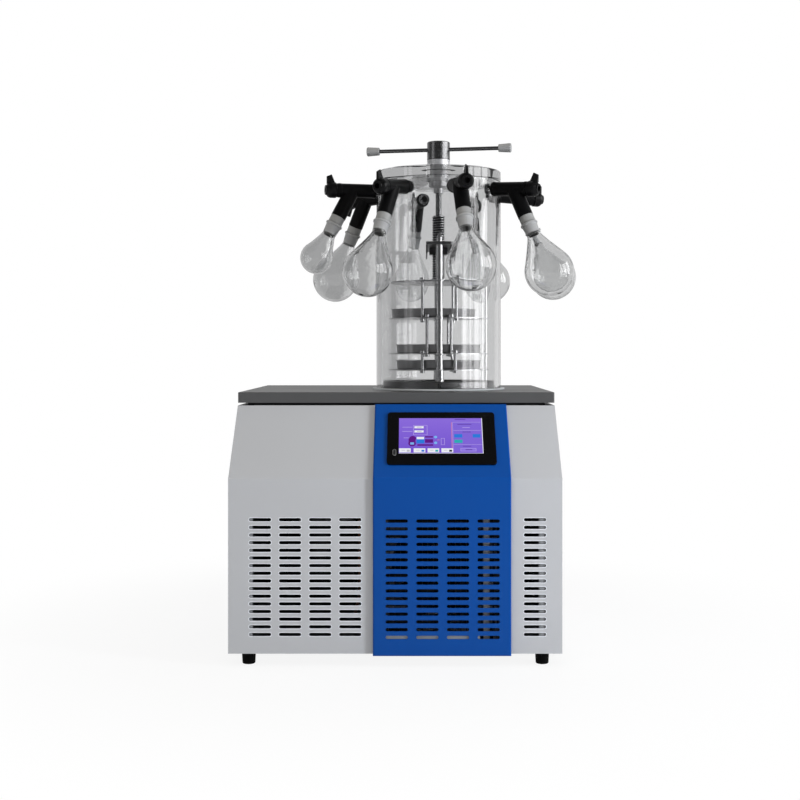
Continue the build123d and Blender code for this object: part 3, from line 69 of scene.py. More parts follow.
# %% [markdown]
# ## Helpers for modelling
# Each operator acts on whatever is selected, and the import leaves the CAD parts
# selected. So a new piece always starts from an empty selection, and faces and edges
# are picked by where they are or which way they look.


# %% Starting, picking and finishing a piece
TINY = 1e-6


def deselect_all():
    """Leave edit mode and drop every selection."""
    if bpy.context.object and bpy.context.object.mode != "OBJECT":
        bpy.ops.object.mode_set(mode="OBJECT")
    bpy.ops.object.select_all(action="DESELECT")


def take(piece):
    """Make one object the active and only selected one."""
    deselect_all()
    piece.select_set(True)
    bpy.context.view_layer.objects.active = piece
    return piece


def started(name):
    """Name the object that an add operator has just made."""
    piece = bpy.context.object
    piece.name = name
    piece.data.name = name
    return piece


def pick(piece, wanted, kind="polygons"):
    """In edit mode, select the faces, edges or vertices for which wanted(item) is true."""
    bpy.ops.object.mode_set(mode="OBJECT")
    mesh = piece.data
    for group in (mesh.polygons, mesh.edges, mesh.vertices):
        group.foreach_set("select", [False] * len(group))
    for item in getattr(mesh, kind):
        item.select = bool(wanted(item))
    modes = {"polygons": "FACE", "edges": "EDGE", "vertices": "VERT"}
    bpy.ops.object.mode_set(mode="EDIT")
    bpy.ops.mesh.select_mode(type=modes[kind])


def close_up(piece):
    """Merge doubles and turn every face outwards, then go back to object mode."""
    bpy.ops.object.mode_set(mode="EDIT")
    bpy.ops.mesh.select_all(action="SELECT")
    bpy.ops.mesh.remove_doubles(threshold=TINY)
    bpy.ops.mesh.normals_make_consistent(inside=False)
    bpy.ops.object.mode_set(mode="OBJECT")


def settle(piece):
    """Put the piece's place into its mesh, so that the object sits at the origin."""
    take(piece)
    bpy.ops.object.transform_apply(location=True, rotation=True, scale=True)
    return piece


def copied(piece, name, matrix):
    """A copy with its own mesh, moved by a matrix."""
    twin = piece.copy()
    twin.data = piece.data.copy()
    twin.name = name
    twin.data.name = name
    bpy.context.scene.collection.objects.link(twin)
    twin.matrix_world = matrix @ piece.matrix_world
    return settle(twin)


def modified(piece, kind, **settings):
    """Add one modifier and apply it."""
    take(piece)
    step = piece.modifiers.new(kind.lower(), kind)
    for key, value in settings.items():
        setattr(step, key, value)
    bpy.ops.object.modifier_apply(modifier=step.name)
    return piece


def smooth(piece, angle=35):
    """Round shading across edges blunter than an angle, sharp across the rest."""
    take(piece)
    bpy.ops.object.shade_smooth_by_angle(angle=radians(angle))
    return piece


# %% [markdown]
# ## Helpers for materials
# A finish is a small calculation over the surface. Written as Python arithmetic it
# reads like one: a Wire stands for the value between two nodes, and adding or
# multiplying wires places the Math nodes. One method places every other kind of node.


# %% Shader arithmetic
def arithmetic(operation, swapped=False):
    """A Wire method that places one Math node."""

    def act(self, other=0.0):
        pair = (other, self) if swapped else (self, other)
        return self.board.wire("Math", {"operation": operation}, dict(enumerate(pair)))

    return act


class Wire:
    """A value on its way between nodes."""

    def __init__(self, board, socket):
        self.board = board
        self.socket = socket

    __add__ = __radd__ = arithmetic("ADD")
    __mul__ = __rmul__ = arithmetic("MULTIPLY")
    __sub__ = arithmetic("SUBTRACT")
    __rsub__ = arithmetic("SUBTRACT", swapped=True)
    __truediv__ = arithmetic("DIVIDE")
    __lt__ = arithmetic("LESS_THAN")
    either = arithmetic("MAXIMUM")
    remainder = arithmetic("FLOORED_MODULO")

    def __abs__(self):
        return self.board.wire("Math", {"operation": "ABSOLUTE"}, {0: self})

    def root(self):
        """The square root."""
        return self.board.wire("Math", {"operation": "SQRT"}, {0: self})

    def ramp(self, low, high):
        """0 at low, 1 at high, smooth between."""
        limits = {"From Min": low, "From Max": high}
        return self.board.wire(
            "MapRange", {"interpolation_type": "SMOOTHSTEP"}, {"Value": self, **limits}
        )


class Board:
    """A node tree on which nodes are placed and wired."""

    def __init__(self, tree):
        self.tree = tree

    def node(self, kind, settings=None, values=None):
        """Place a node: its settings first, then the values or wires of its sockets."""
        made = self.tree.nodes.new("ShaderNode" + kind)
        for key, value in (settings or {}).items():
            if key == "stops":
                ramp = made.color_ramp
                for position, colour in value:
                    stop = ramp.elements.new(position)
                    stop.color = colour
                ramp.elements.remove(ramp.elements[0])
                ramp.elements.remove(ramp.elements[-1])
            else:
                setattr(made, key, value)
        for key, value in (values or {}).items():
            self.plug(value, made.inputs[key])
        return made

    def wire(self, kind, settings=None, values=None, output=0):
        """The same, giving one of the node's outputs as a Wire."""
        return Wire(self, self.node(kind, settings, values).outputs[output])

    def plug(self, value, socket):
        """Link a wire to a socket, or write a plain value on it."""
        if isinstance(value, Wire):
            self.tree.links.new(value.socket, socket)
        else:
            socket.default_value = value

    def parts(self, vector):
        """The x, y and z of a vector."""
        split = self.node("SeparateXYZ", None, {0: vector})
        return [Wire(self, socket) for socket in split.outputs]

    def blend(self, factor, first, second):
        """A colour between two colours."""
        places = {"Factor": factor, 6: first, 7: second}
        return self.wire("Mix", {"data_type": "RGBA"}, places, output=2)


def tint(red, green, blue):
    """A screen colour of 0 to 255 as the light it stands for."""
    linear = [
        c / 255 / 12.92 if c <= 10 else ((c / 255 + 0.055) / 1.055) ** 2.4
        for c in (red, green, blue)
    ]
    return (*linear, 1.0)


def scaled(colour, share):
    """The same colour, lighter or darker."""
    return (*(part * share for part in colour[:3]), 1.0)


class Finish(Board):
    """One Principled material whose patterns read the place on the object."""

    def __init__(self, name, colour, roughness, metallic=0.0, **steady):
        self.material = bpy.data.materials.new(name)
        self.material.use_nodes = True
        super().__init__(self.material.node_tree)
        self.shader = self.tree.nodes["Principled BSDF"]
        self.place = self.wire("TexCoord", None, None, output="Object")
        self.colour = colour
        self.set(Base_Color=colour, Roughness=roughness, Metallic=metallic, **steady)

    def set(self, **values):
        """Write values or wires on the shader's sockets."""
        for key, value in values.items():
            self.plug(value, self.shader.inputs[key.replace("_", " ")])
        return self

    def noise(self, scale, detail=2.0, stretch=(1.0, 1.0, 1.0)):
        """Soft random values from 0 to 1, with features about 1 / scale metres wide."""
        spot = self.wire("Mapping", None, {"Vector": self.place, "Scale": stretch})
        values = {"Vector": spot, "Scale": scale, "Detail": detail}
        return self.wire("TexNoise", None, values)

    def bump(self, height, depth, strength=1.0):
        """Raise the surface by a height from 0 to 1, depth metres deep."""
        values = {"Height": height, "Distance": depth, "Strength": strength}
        return self.set(Normal=self.wire("Bump", None, values))

    def radius(self, x, y):
        """Distance from an upright axis, and the height."""
        across, along, height = self.parts(self.place)
        across = across - x
        along = along - y
        return (across * across + along * along).root(), height

    def lines(self, value, scale, detail=3.0):
        """Fine lines wherever a value is the same, as a lathe or a brush leaves."""
        values = {"W": value, "Scale": scale, "Detail": detail}
        return self.wire("TexNoise", {"noise_dimensions": "1D"}, values)


def paint_all(finish, *names):
    """Give CAD parts a finish in place of the plain colour they came with."""
    for name in names:
        slots = NODES[name].material_slots
        for slot in slots:
            slot.material = finish.material


# %% [markdown]
# ## Cabinet paint
# The panels are powder coated. The powder melts to a skin with a fine ripple, called
# orange peel, that blurs reflections. A bump of 1 to 2 mm cells gives the ripple and a
# wide, weak noise gives the slight unevenness of a large sheet. A paler band round each
# slot is a painted highlight, and each slot's cut edge is painted dark as painted shade.
# The slots stand on an even grid, so the remainder of the place by the pitch finds the
# nearest slot.
# Inside, the side and back panels are painted near-black as painted shade.


# %% Powder coat, light grey and blue
def powder_coat(name, colour, roughness, coat):
    """Semi-gloss powder coat of one colour, with the wire of its colour for later marks."""
    finish = Finish(
        name, colour, roughness, Coat_Roughness=0.2, Coat_IOR=1.5, Specular_IOR_Level=0.15
    )
    cloud = finish.noise(4.0, 3.0)
    fine = finish.noise(60.0, 2.0)
    peel = finish.noise(620.0, 1.5)
    finish.coat = finish.blend(cloud, scaled(colour, 0.965), scaled(colour, 1.035))
    finish.set(
        Base_Color=finish.coat,
        Roughness=roughness - 0.04 + 0.08 * fine,
        Coat_Weight=coat * (0.8 + 0.4 * cloud),
    )
    return finish.bump(peel, 0.00006, 0.35)


# %% Painted highlight and shade round the slots
SLOT_PITCH = (0.054, 0.01373)
SLOT_MIDDLE = 0.1625
SLOT_REACH = 0.111
SLOT_R = 0.003
SLOT_STRAIGHT = 0.034
PAINTED_RIM_BAND = 0.0016
PAINTED_RIM_FLAT = 0.4
SKIN = 0.0004
# Dark grey painted on the slots' cut edges: painted shade.
PAINTED_CUT_SHADE = tint(40, 40, 42)


def painted_slot_light(finish, columns, painted_lip_highlight):
    """Painted highlight round the slots and painted shade on their cut edges, at columns given from
    the cabinet's middle.
    """
    x, y, z = finish.parts(finish.place)
    row = (z - SLOT_MIDDLE).remainder(SLOT_PITCH[1]) - SLOT_PITCH[1] / 2
    tall = abs(z - SLOT_MIDDLE) < SLOT_REACH
    near = 0.0
    for middle in columns:
        aside = (abs(x - CABINET_X - middle) - SLOT_STRAIGHT / 2).either(0.0)
        gap = (aside * aside + row * row).root() - SLOT_R
        near = (1.0 - gap.ramp(PAINTED_RIM_BAND * PAINTED_RIM_FLAT, PAINTED_RIM_BAND)).either(near)
    near = near * tall
    front = y < FRONT_Y + SKIN
    # The pale band on the front face round each slot is a painted highlight; the cut edge behind it
    # is painted dark grey as painted shade.
    coat = finish.blend(near * front, finish.coat, painted_lip_highlight)
    finish.set(Base_Color=finish.blend(near * (1.0 - front), coat, PAINTED_CUT_SHADE))


PANEL_GREY = tint(183, 184, 186)
PANEL_BLUE = tint(2, 70, 148)
INSIDE_PAINTED_SHADE = (0.02, 0.02, 0.021, 1.0)
SIDE_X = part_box("right_side_panel")[1].x - CABINET_X
REAR_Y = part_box("rear_panel")[1].y
LEFT_BLOCK = -0.1617
RIGHT_COLUMN = 0.2508
COLUMNS = [LEFT_BLOCK + SLOT_PITCH[0] * step for step in (-1.5, -0.5, 0.5, 1.5)]
COLUMNS.append(RIGHT_COLUMN)
front_paint = powder_coat("front_powder_coat", PANEL_GREY, 0.42, 0.2)
painted_slot_light(front_paint, COLUMNS, tint(230, 233, 238))
panel_paint = powder_coat("panel_powder_coat", PANEL_GREY, 0.42, 0.2)
# The inner faces of the side and back panels are painted near-black: painted shade inside the
# cabinet.
x, y, z = panel_paint.parts(panel_paint.place)
shade_inside = (abs(x - CABINET_X) < SIDE_X - SKIN) * (y < REAR_Y - SKIN) * (z < DECK_Z)
panel_paint.set(Base_Color=panel_paint.blend(shade_inside, panel_paint.coat, INSIDE_PAINTED_SHADE))
blue_paint = powder_coat("blue_powder_coat", PANEL_BLUE, 0.4, 0.08)
paint_all(front_paint, "front_panel")
paint_all(panel_paint, "left_side_panel", "right_side_panel", "rear_panel")
paint_all(blue_paint, "blue_front_panel")
print("powder coats:", front_paint.material.name, blue_paint.material.name, len(COLUMNS), "columns")

# %% [markdown]
# ## Worktop
# The worktop is a folded sheet with a dark grey textured enamel. At the grazing angle
# from which it is mostly seen it mirrors the room, which makes its top look pale while
# its edge stays dark. Only roughness and the shader's own Fresnel are needed for that.

# %% Dark enamel
WORKTOP_GREY = tint(78, 78, 78)
worktop_coat = Finish("worktop_enamel", WORKTOP_GREY, 0.4)
smear = worktop_coat.noise(9.0, 4.0, (1.0, 2.5, 1.0))
grit = worktop_coat.noise(900.0, 2.0)
worktop_coat.set(
    Base_Color=worktop_coat.blend(smear, scaled(WORKTOP_GREY, 0.9), scaled(WORKTOP_GREY, 1.1)),
    Roughness=0.34 + 0.12 * smear,
)
worktop_coat.bump(grit, 0.00005, 0.5)
paint_all(worktop_coat, "worktop")

# The spacer is matt black; in the gap under the worktop its black also stands for painted shade.
spacer_black = Finish("spacer_matt_black", (0.012, 0.012, 0.013, 1.0), 0.7)
spacer_black.bump(spacer_black.noise(700.0), 0.00005, 0.4)
paint_all(spacer_black, "worktop_spacer")

# %% [markdown]
# ## Galvanised sheet
# The pan under the machine and the fan's plate are bare zinc-coated steel. Zinc grows
# in flat crystals a few millimetres wide, each with its own shade. A Voronoi texture
# draws such cells, and its random colour per cell sets the shade.

# %% Zinc spangle
zinc_sheet = Finish("zinc_spangle", (0.42, 0.43, 0.45, 1.0), 0.38, 1.0)
cells = zinc_sheet.wire("TexVoronoi", None, {"Vector": zinc_sheet.place, "Scale": 120.0}, "Color")
shade = zinc_sheet.parts(cells)[0]
zinc_sheet.set(
    Base_Color=zinc_sheet.blend(shade, (0.36, 0.37, 0.39, 1.0), (0.55, 0.56, 0.58, 1.0)),
    Roughness=0.3 + 0.22 * shade,
)
paint_all(zinc_sheet, "base_pan", "fan_shroud")

# %% [markdown]
# ## Rubber and plastic
# Moulded parts differ mostly in gloss and in the size of their grain: rubber is dull
# with a fine sandy grain, moulded plastic is smoother and slightly waxy.


# %% Moulded finishes
def moulded(name, colour, roughness, grain, depth, **steady):
    """A moulded part: even colour, faint cloudiness, and a grain of one size."""
    finish = Finish(name, colour, roughness, **steady)
    cloud = finish.noise(35.0, 3.0)
    finish.set(
        Base_Color=finish.blend(cloud, scaled(colour, 0.85), scaled(colour, 1.15)),
        Roughness=roughness - 0.06 + 0.12 * cloud,
    )
    return finish.bump(finish.noise(grain, 2.0), depth, 0.5)


BLACK = (0.0035, 0.0035, 0.0037, 1.0)
foot_rubber = moulded("foot_rubber_black", BLACK, 0.6, 1500.0, 0.00005, Specular_IOR_Level=0.05)
valve_rubber = moulded("valve_rubber_black", BLACK, 0.36, 1400.0, 0.00004, Specular_IOR_Level=0.1)
knob_plastic = moulded("knob_plastic_black", BLACK, 0.34, 1800.0, 0.00002, Specular_IOR_Level=0.2)
black_plastic = moulded("moulded_black", BLACK, 0.42, 1600.0, 0.00004, Specular_IOR_Level=0.3)
bezel_black = moulded("bezel_gloss_black", BLACK, 0.22, 2200.0, 0.00001, Specular_IOR_Level=0.12)
adapter_plastic = moulded("adapter_pale_grey", tint(142, 142, 140), 0.42, 900.0, 0.00002)
cap_grey = moulded("cap_pale_grey", tint(148, 148, 147), 0.45, 1300.0, 0.00003)
lever_coat = moulded("lever_dipped_red", tint(176, 34, 30), 0.32, 400.0, 0.00005)
seal_silicone = moulded(
    "seal_milky_silicone", tint(206, 208, 208), 0.4, 600.0, 0.00002,
    Transmission_Weight=0.25, IOR=1.41,
)
foam = moulded("foam_cup_black", (0.02, 0.02, 0.021, 1.0), 0.9, 260.0, 0.0006)
compressor_black = moulded("compressor_enamel", (0.012, 0.012, 0.013, 1.0), 0.3, 500.0, 0.00005)
paint_all(foot_rubber, "rubber_feet")
paint_all(valve_rubber, "valve_bodies")
paint_all(knob_plastic, *(f"valve_knob_{number}" for number in range(1, 9)))
paint_all(black_plastic, "power_inlet", "power_switch", "fan_blade")
paint_all(bezel_black, "screen_bezel")
paint_all(adapter_plastic, "flask_adapters")
paint_all(cap_grey, "handle_caps")
paint_all(lever_coat, "drain_valve_handle")
paint_all(seal_silicone, "base_seal")
paint_all(foam, "trap_insulation")
paint_all(compressor_black, "compressor")
print("moulded finishes done")

# %% [markdown]
# ## Turned and brushed steel
# A lathe leaves rings round a part and a brush leaves straight lines. Both are thin
# stripes of slightly different gloss that stretch the highlights across them. The
# lines come from a one-dimensional noise that reads only the distance along the part.

# %% Stainless steel
STEEL = (0.56, 0.56, 0.57, 1.0)


def turned_steel(name, colour, roughness, x, y, pitch=2600.0):
    """Stainless steel turned about an upright axis."""
    finish = Finish(name, colour, roughness, 1.0, Anisotropic=0.5)
    reach, height = finish.radius(x, y)
    rings = finish.lines(reach + height * 1.618, pitch)
    stain = finish.noise(22.0, 3.0)
    finish.set(
        Base_Color=finish.blend(rings, scaled(colour, 0.82), scaled(colour, 1.12)),
        Roughness=roughness - 0.05 + 0.07 * rings + 0.08 * stain,
    )
    return finish.bump(rings, 0.00002, 0.5)


def brushed_steel(name, colour, roughness, stretch):
    """Sheet steel brushed in one direction: the noise is long where stretch is small."""
    finish = Finish(name, colour, roughness, 1.0)
    brush = finish.noise(1.0, 3.0, stretch)
    stain = finish.noise(16.0, 3.0)
    finish.set(
        Base_Color=finish.blend(brush, scaled(colour, 0.86), scaled(colour, 1.1)),
        Roughness=roughness - 0.06 + 0.1 * brush + 0.08 * stain,
    )
    return finish.bump(brush, 0.00001, 0.5)


shaft_steel = turned_steel("shaft_turned_steel", scaled(STEEL, 0.38), 0.24, AXIS_X, AXIS_Y)
collar_steel = turned_steel("collar_turned_steel", scaled(STEEL, 0.5), 0.36, AXIS_X, AXIS_Y)
plate_steel = brushed_steel("plate_brushed_steel", STEEL, 0.24, (12.0, 2600.0, 2600.0))
block_steel = brushed_steel("block_milled_steel", scaled(STEEL, 0.3), 0.34, (12.0, 2600.0, 2600.0))
rod_steel = brushed_steel("rod_drawn_steel", STEEL, 0.14, (2600.0, 2600.0, 14.0))
bar_steel = brushed_steel("bar_drawn_steel", scaled(STEEL, 0.5), 0.2, (14.0, 2600.0, 2600.0))
tray_steel = turned_steel("tray_spun_steel", scaled(STEEL, 0.42), 0.27, AXIS_X, AXIS_Y, 1800.0)
gland_steel = turned_steel("gland_turned_steel", scaled(STEEL, 1.25), 0.36, AXIS_X, AXIS_Y, 1500.0)
gland_steel.set(Metallic=0.7)
paint_all(shaft_steel, "handle_hub")
paint_all(gland_steel, "gland")
paint_all(collar_steel, "trap_collar", "cold_trap")
paint_all(plate_steel, "press_plate", "shelf_1", "shelf_2", "shelf_3")
paint_all(block_steel, "yoke", "screw_nut")
paint_all(rod_steel, "stand_posts", "hangers_1", "hangers_2", "hangers_3")
paint_all(bar_steel, "handle_bar", "vacuum_port", "port_stubs")
paint_all(tray_steel, "tray_1", "tray_2", "tray_3")

# %% [markdown]
# ## Other metals, and the circuit board
# These sit behind the slots and at the back: nickel-plated brass, drawn copper gone
# slightly brown, near-black lacquered fins that also stand for painted shade inside the
# cabinet, and a green board.

# %% Brass, copper, fins, board
BRASS = (0.60, 0.55, 0.44, 1.0)
valve_brass = brushed_steel("valve_nickel_brass", BRASS, 0.26, (900.0, 30.0, 900.0))
copper = Finish("copper_tube", (0.62, 0.28, 0.16, 1.0), 0.32, 1.0)
tarnish = copper.noise(45.0, 4.0)
copper.set(
    Base_Color=copper.blend(tarnish, (0.66, 0.30, 0.17, 1.0), (0.25, 0.11, 0.07, 1.0)),
    Roughness=0.24 + 0.3 * tarnish,
)
# The fins are near-black: a black lacquer, and also painted shade for the dark inside of the
# cabinet.
fin_black_and_shade = Finish("fin_black_lacquer_and_shade", (0.03, 0.03, 0.032, 1.0), 0.45, 0.4)
dust = fin_black_and_shade.noise(90.0, 3.0)
fin_black_and_shade.set(Base_Color=fin_black_and_shade.blend(dust, (0.018, 0.018, 0.02, 1.0), (0.05, 0.05, 0.052, 1.0)))
board_green = Finish("board_solder_mask", (0.01, 0.12, 0.05, 1.0), 0.3)
layout = {"Vector": board_green.place, "Scale": 90.0, "Mortar Size": 0.012}
tracks = board_green.wire("TexBrick", {"offset": 0.5}, layout, "Fac")
MASK_DARK = (0.008, 0.10, 0.045, 1.0)
MASK_PALE = (0.05, 0.26, 0.10, 1.0)
board_green.set(Base_Color=board_green.blend(tracks, MASK_DARK, MASK_PALE))
paint_all(valve_brass, "drain_valve_body")
paint_all(copper, "evaporator_coil", "refrigerant_lines")
paint_all(fin_black_and_shade, "condenser_coil")
paint_all(board_green, "control_board")
print("metals done")

# %% [markdown]
# ## Clear parts
# The chamber is cast acrylic with a ten millimetre wall, slightly grey in depth. It is
# a real refracting wall: the tint sits in the base colour, and a slow, shallow bump
# gives the faint waviness of a cast tube. Flask glass is thinner and clearer, but its
# socket is ground, so the neck is milky. Every flask hangs from a branch that leaves
# its valve at the same slope, so the distance down the branch, which decides where the
# frosting ends, follows from the distance to the chamber's axis and the height.

# %% Acrylic
clear_acrylic = Finish(
    "chamber_cast_acrylic", (0.90, 0.903, 0.905, 1.0), 0.0, Transmission_Weight=1.0, IOR=1.49
)
clear_acrylic.bump(clear_acrylic.noise(14.0, 1.0, (1.0, 1.0, 0.3)), 0.0006, 0.5)
paint_all(clear_acrylic, "chamber_tube", "chamber_lid")

# %% Flask glass with its ground neck
PORT_Z = DECK_Z + 0.403
BRANCH_OUT = 0.176
BRANCH_SLOPE = radians(64.0)
NECK_END = 0.1028
GLASS_IOR = 1.47
flask_glass = Finish(
    "flask_glass_ground_neck", (0.90, 0.903, 0.903, 1.0), 0.0,
    Transmission_Weight=1.0, IOR=GLASS_IOR,
)
waves = flask_glass.noise(24.0, 1.0) + 0.35 * flask_glass.noise(70.0, 1.0)
flask_glass.bump(waves, 0.0011, 0.6)
out, height = flask_glass.radius(AXIS_X, AXIS_Y)
down_branch = (out - BRANCH_OUT) * cos(BRANCH_SLOPE) + (PORT_Z - height) * sin(BRANCH_SLOPE)
ground = 1.0 - down_branch.ramp(NECK_END - 0.001, NECK_END + 0.002)
grain = flask_glass.noise(900.0, 3.0)
pitted = flask_glass.wire("Bump", None, {"Height": grain, "Distance": 0.00005})
milky = flask_glass.blend(grain, tint(182, 182, 181), tint(208, 208, 207))
milky_glass = {
    "Base Color": milky,
    "Roughness": 0.42 + 0.2 * grain,
    "Transmission Weight": 0.45,
    "IOR": GLASS_IOR,
    "Normal": pitted,
}
clear = Wire(flask_glass, flask_glass.shader.outputs[0])
frosted = flask_glass.wire("BsdfPrincipled", None, milky_glass)
mixed = flask_glass.wire("MixShader", None, {0: ground, 1: clear, 2: frosted})
flask_glass.plug(mixed, flask_glass.tree.nodes["Material Output"].inputs["Surface"])
paint_all(flask_glass, "large_flasks", "small_flask")
print("frosting ends", round(NECK_END * 1000, 1), "mm down each branch")

# %% [markdown]
# ## The lit screen
# The touch screen is a glass-fronted panel that glows. The picture is the machine's
# own: a violet field with a row of pale keys below, a column of fields to the right and
# a sketch of the pot, the pump and the valves on the left. It is drawn as plain fields
# of colour in the screen's own width and height, without lettering, and it glows at
# the strength at which a colour shows as written. A thin gloss coat stands for the glass.

# %% Screen coordinates and drawing marks
glass_low, glass_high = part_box("screen_glass")
glass_middle = (glass_low + glass_high) / 2
SLOPE = sin(radians(45))
GLASS_T = 0.0012
SCREEN_W = glass_high.x - glass_low.x
SCREEN_H = (glass_high.z - glass_low.z) / SLOPE - GLASS_T
lit_screen = Finish(
    "screen_lit_picture", (0.004, 0.004, 0.006, 1.0), 0.16,
    Specular_IOR_Level=0.5, Emission_Strength=1.0,
)
x, y, z = lit_screen.parts(lit_screen.place)
across = (x - glass_middle.x) / SCREEN_W + 0.5
up = (y + z - (glass_middle.y + glass_middle.z)) * (SLOPE / SCREEN_H) + 0.5


def field(left, low, right, high):
    """1 inside a rectangle of the screen, 0 outside."""
    sideways = abs(across - (left + right) / 2) < (right - left) / 2
    upwards = abs(up - (low + high) / 2) < (high - low) / 2
    return sideways * upwards


def dot(middle, height, reach):
    """1 inside a circle whose radius is a share of the screen's height."""
    sideways = (across - middle) * (SCREEN_W / SCREEN_H)
    upwards = up - height
    return (sideways * sideways + upwards * upwards) < reach * reach


def outline(left, low, right, high, line=0.006):
    """A thin frame round a rectangle."""
    tall = line * SCREEN_W / SCREEN_H
    return field(left, low, right, high) - field(left + line, low + tall, right - line, high - tall)


# %% The picture
PALE_VIOLET = tint(176, 158, 226)
PLUM = tint(92, 10, 128)
KEY_WHITE = tint(232, 234, 240)
SKY = tint(120, 176, 236)
AZURE = tint(40, 118, 214)
TEAL = tint(40, 168, 176)
ROSE = tint(214, 134, 164)
INK = tint(40, 40, 60)
DEEP = tint(84, 52, 158)
SMOKE = tint(186, 186, 196)
LEFT_KEYS = (0.003, 0.176, 0.34, 0.504)
KEY_WIDTH = 0.138
picture = lit_screen.blend(up, tint(112, 80, 204), tint(136, 104, 216))
MARKS = [
    (field(0.645, 0.04, 0.985, 0.885), tint(126, 98, 212)),
    (field(0.628, 0.04, 0.635, 0.88), ROSE),
    (field(0.642, 0.04, 0.647, 0.88), PALE_VIOLET),
    (field(0.645, 0.88, 0.985, 0.89), PALE_VIOLET),
    (field(0.65, 0.645, 0.985, 0.655), PALE_VIOLET),
    (field(0.65, 0.245, 0.985, 0.255), PALE_VIOLET),
    (field(0.66, 0.445, 0.757, 0.545), AZURE),
    (field(0.88, 0.445, 0.973, 0.545), AZURE),
    (field(0.66, 0.295, 0.757, 0.385), TEAL),
    (field(0.67, 0.955, 0.80, 0.972), DEEP),
    (field(0.70, 0.815, 0.87, 0.832), DEEP),
    (field(0.76, 0.725, 0.85, 0.742), PALE_VIOLET),
    (field(0.76, 0.595, 0.86, 0.612), DEEP),
    (field(0.76, 0.195, 0.86, 0.212), DEEP),
    (field(0.73, 0.06, 0.917, 0.15), tint(140, 114, 220)),
    (outline(0.73, 0.06, 0.917, 0.15), PALE_VIOLET),
    (field(0.79, 0.098, 0.87, 0.118), DEEP),
    (outline(0.17, 0.52, 0.34, 0.80), PALE_VIOLET),
    (field(0.04, 0.735, 0.16, 0.75), PALE_VIOLET),
    (field(0.04, 0.615, 0.16, 0.63), PALE_VIOLET),
    (field(0.055, 0.43, 0.115, 0.445), PALE_VIOLET),
    (field(0.185, 0.71, 0.295, 0.77), KEY_WHITE),
    (field(0.185, 0.59, 0.295, 0.65), KEY_WHITE),
    (field(0.215, 0.73, 0.27, 0.75), SMOKE),
    (field(0.215, 0.61, 0.27, 0.63), SMOKE),
    (field(0.115, 0.27, 0.198, 0.42), PLUM),
    (dot(0.165, 0.42, 0.072), PLUM),
    (dot(0.157, 0.28, 0.08), PLUM),
    (field(0.135, 0.25, 0.18, 0.31), SKY),
    (field(0.209, 0.28, 0.304, 0.46), AZURE),
    (field(0.212, 0.40, 0.30, 0.465), KEY_WHITE),
    (field(0.31, 0.445, 0.407, 0.485), PLUM),
    (field(0.31, 0.30, 0.407, 0.40), PLUM),
    (field(0.22, 0.215, 0.407, 0.257), PLUM),
    (dot(0.437, 0.46, 0.036), SKY),
    (dot(0.437, 0.298, 0.036), SKY),
    (field(0.455, 0.372, 0.485, 0.386), ROSE),
    (outline(0.50, 0.24, 0.545, 0.43), PALE_VIOLET),
    (field(0.0, 0.0, 1.0, 0.014), KEY_WHITE),
    (field(0.992, 0.0, 1.0, 1.0), KEY_WHITE),
]
for left, icon in zip(LEFT_KEYS, (SMOKE, AZURE, TEAL, INK)):
    MARKS.append((field(left, 0.03, left + KEY_WIDTH, 0.145), KEY_WHITE))
    MARKS.append((field(left + 0.03, 0.085, left + 0.07, 0.10), SMOKE))
    MARKS.append((field(left + 0.092, 0.05, left + 0.126, 0.105), icon))
for mark, colour in MARKS:
    picture = lit_screen.blend(mark, picture, colour)
lit_screen.set(Emission_Color=picture)
paint_all(lit_screen, "screen_glass")
print("screen:", round(SCREEN_W * 1000), "by", round(SCREEN_H * 1000), "mm,", len(MARKS), "marks")

# %% [markdown]
# ## Press screw
# The screw that lowers the press has a coarse thread, as on a clamp. A thread is one
# tooth outline carried up a helix: the outline of a single pitch is drawn by
# extruding a point, and the Screw modifier winds it round the axis. The winding is
# made too long at both ends and bisected flat, as a bar is sawn to length.


# %% Threaded bar
CREST_SHARE = 0.12
SPARE_TURNS = 1.5


def threaded_bar(name, x, y, low, high, crest_r, pitch, depth, steps=40):
    """A threaded bar on an upright axis, cut flat at both ends."""
    deselect_all()
    bpy.ops.mesh.primitive_plane_add(size=0.001, location=(0, 0, 0))
    bar = started(name)
    bpy.ops.object.mode_set(mode="EDIT")
    bpy.ops.mesh.select_all(action="SELECT")
    bpy.ops.mesh.merge(type="CENTER")
    root_r = crest_r - depth
    bpy.ops.transform.translate(value=(root_r, 0, 0))
    flat = pitch * CREST_SHARE
    flank = pitch / 2 - flat
    for step in ((0, flat), (depth, flank), (0, flat), (-depth, flank)):
        bpy.ops.mesh.extrude_region_move(TRANSFORM_OT_translate={"value": (step[0], 0, step[1])})
    bpy.ops.object.mode_set(mode="OBJECT")
    turns = int((high - low) / pitch + 2 * SPARE_TURNS)
    modified(
        bar, "SCREW", axis="Z", angle=2 * pi, screw_offset=pitch, iterations=turns,
        steps=steps, render_steps=steps, use_merge_vertices=True, merge_threshold=TINY,
        use_normal_calculate=True,
    )
    bar.location = (x, y, low - SPARE_TURNS * pitch)
    settle(bar)
    for level, outward in ((low, False), (high, True)):
        bpy.ops.object.mode_set(mode="EDIT")
        bpy.ops.mesh.select_all(action="SELECT")
        bpy.ops.mesh.bisect(
            plane_co=(x, y, level), plane_no=(0, 0, 1), use_fill=True,
            clear_inner=not outward, clear_outer=outward,
        )
        bpy.ops.object.mode_set(mode="OBJECT")
    close_up(bar)
    return smooth(bar, 40)


SCREW_PITCH = 0.005
SCREW_DEPTH = 0.0024
screw_low, screw_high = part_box("press_screw")
screw_r = (screw_high.x - screw_low.x) / 2
press_thread = threaded_bar(
    "press_thread", AXIS_X, AXIS_Y, screw_low.z, screw_high.z, screw_r, SCREW_PITCH, SCREW_DEPTH
)
print("press thread:", len(press_thread.data.polygons), "faces, radius", round(screw_r, 4))
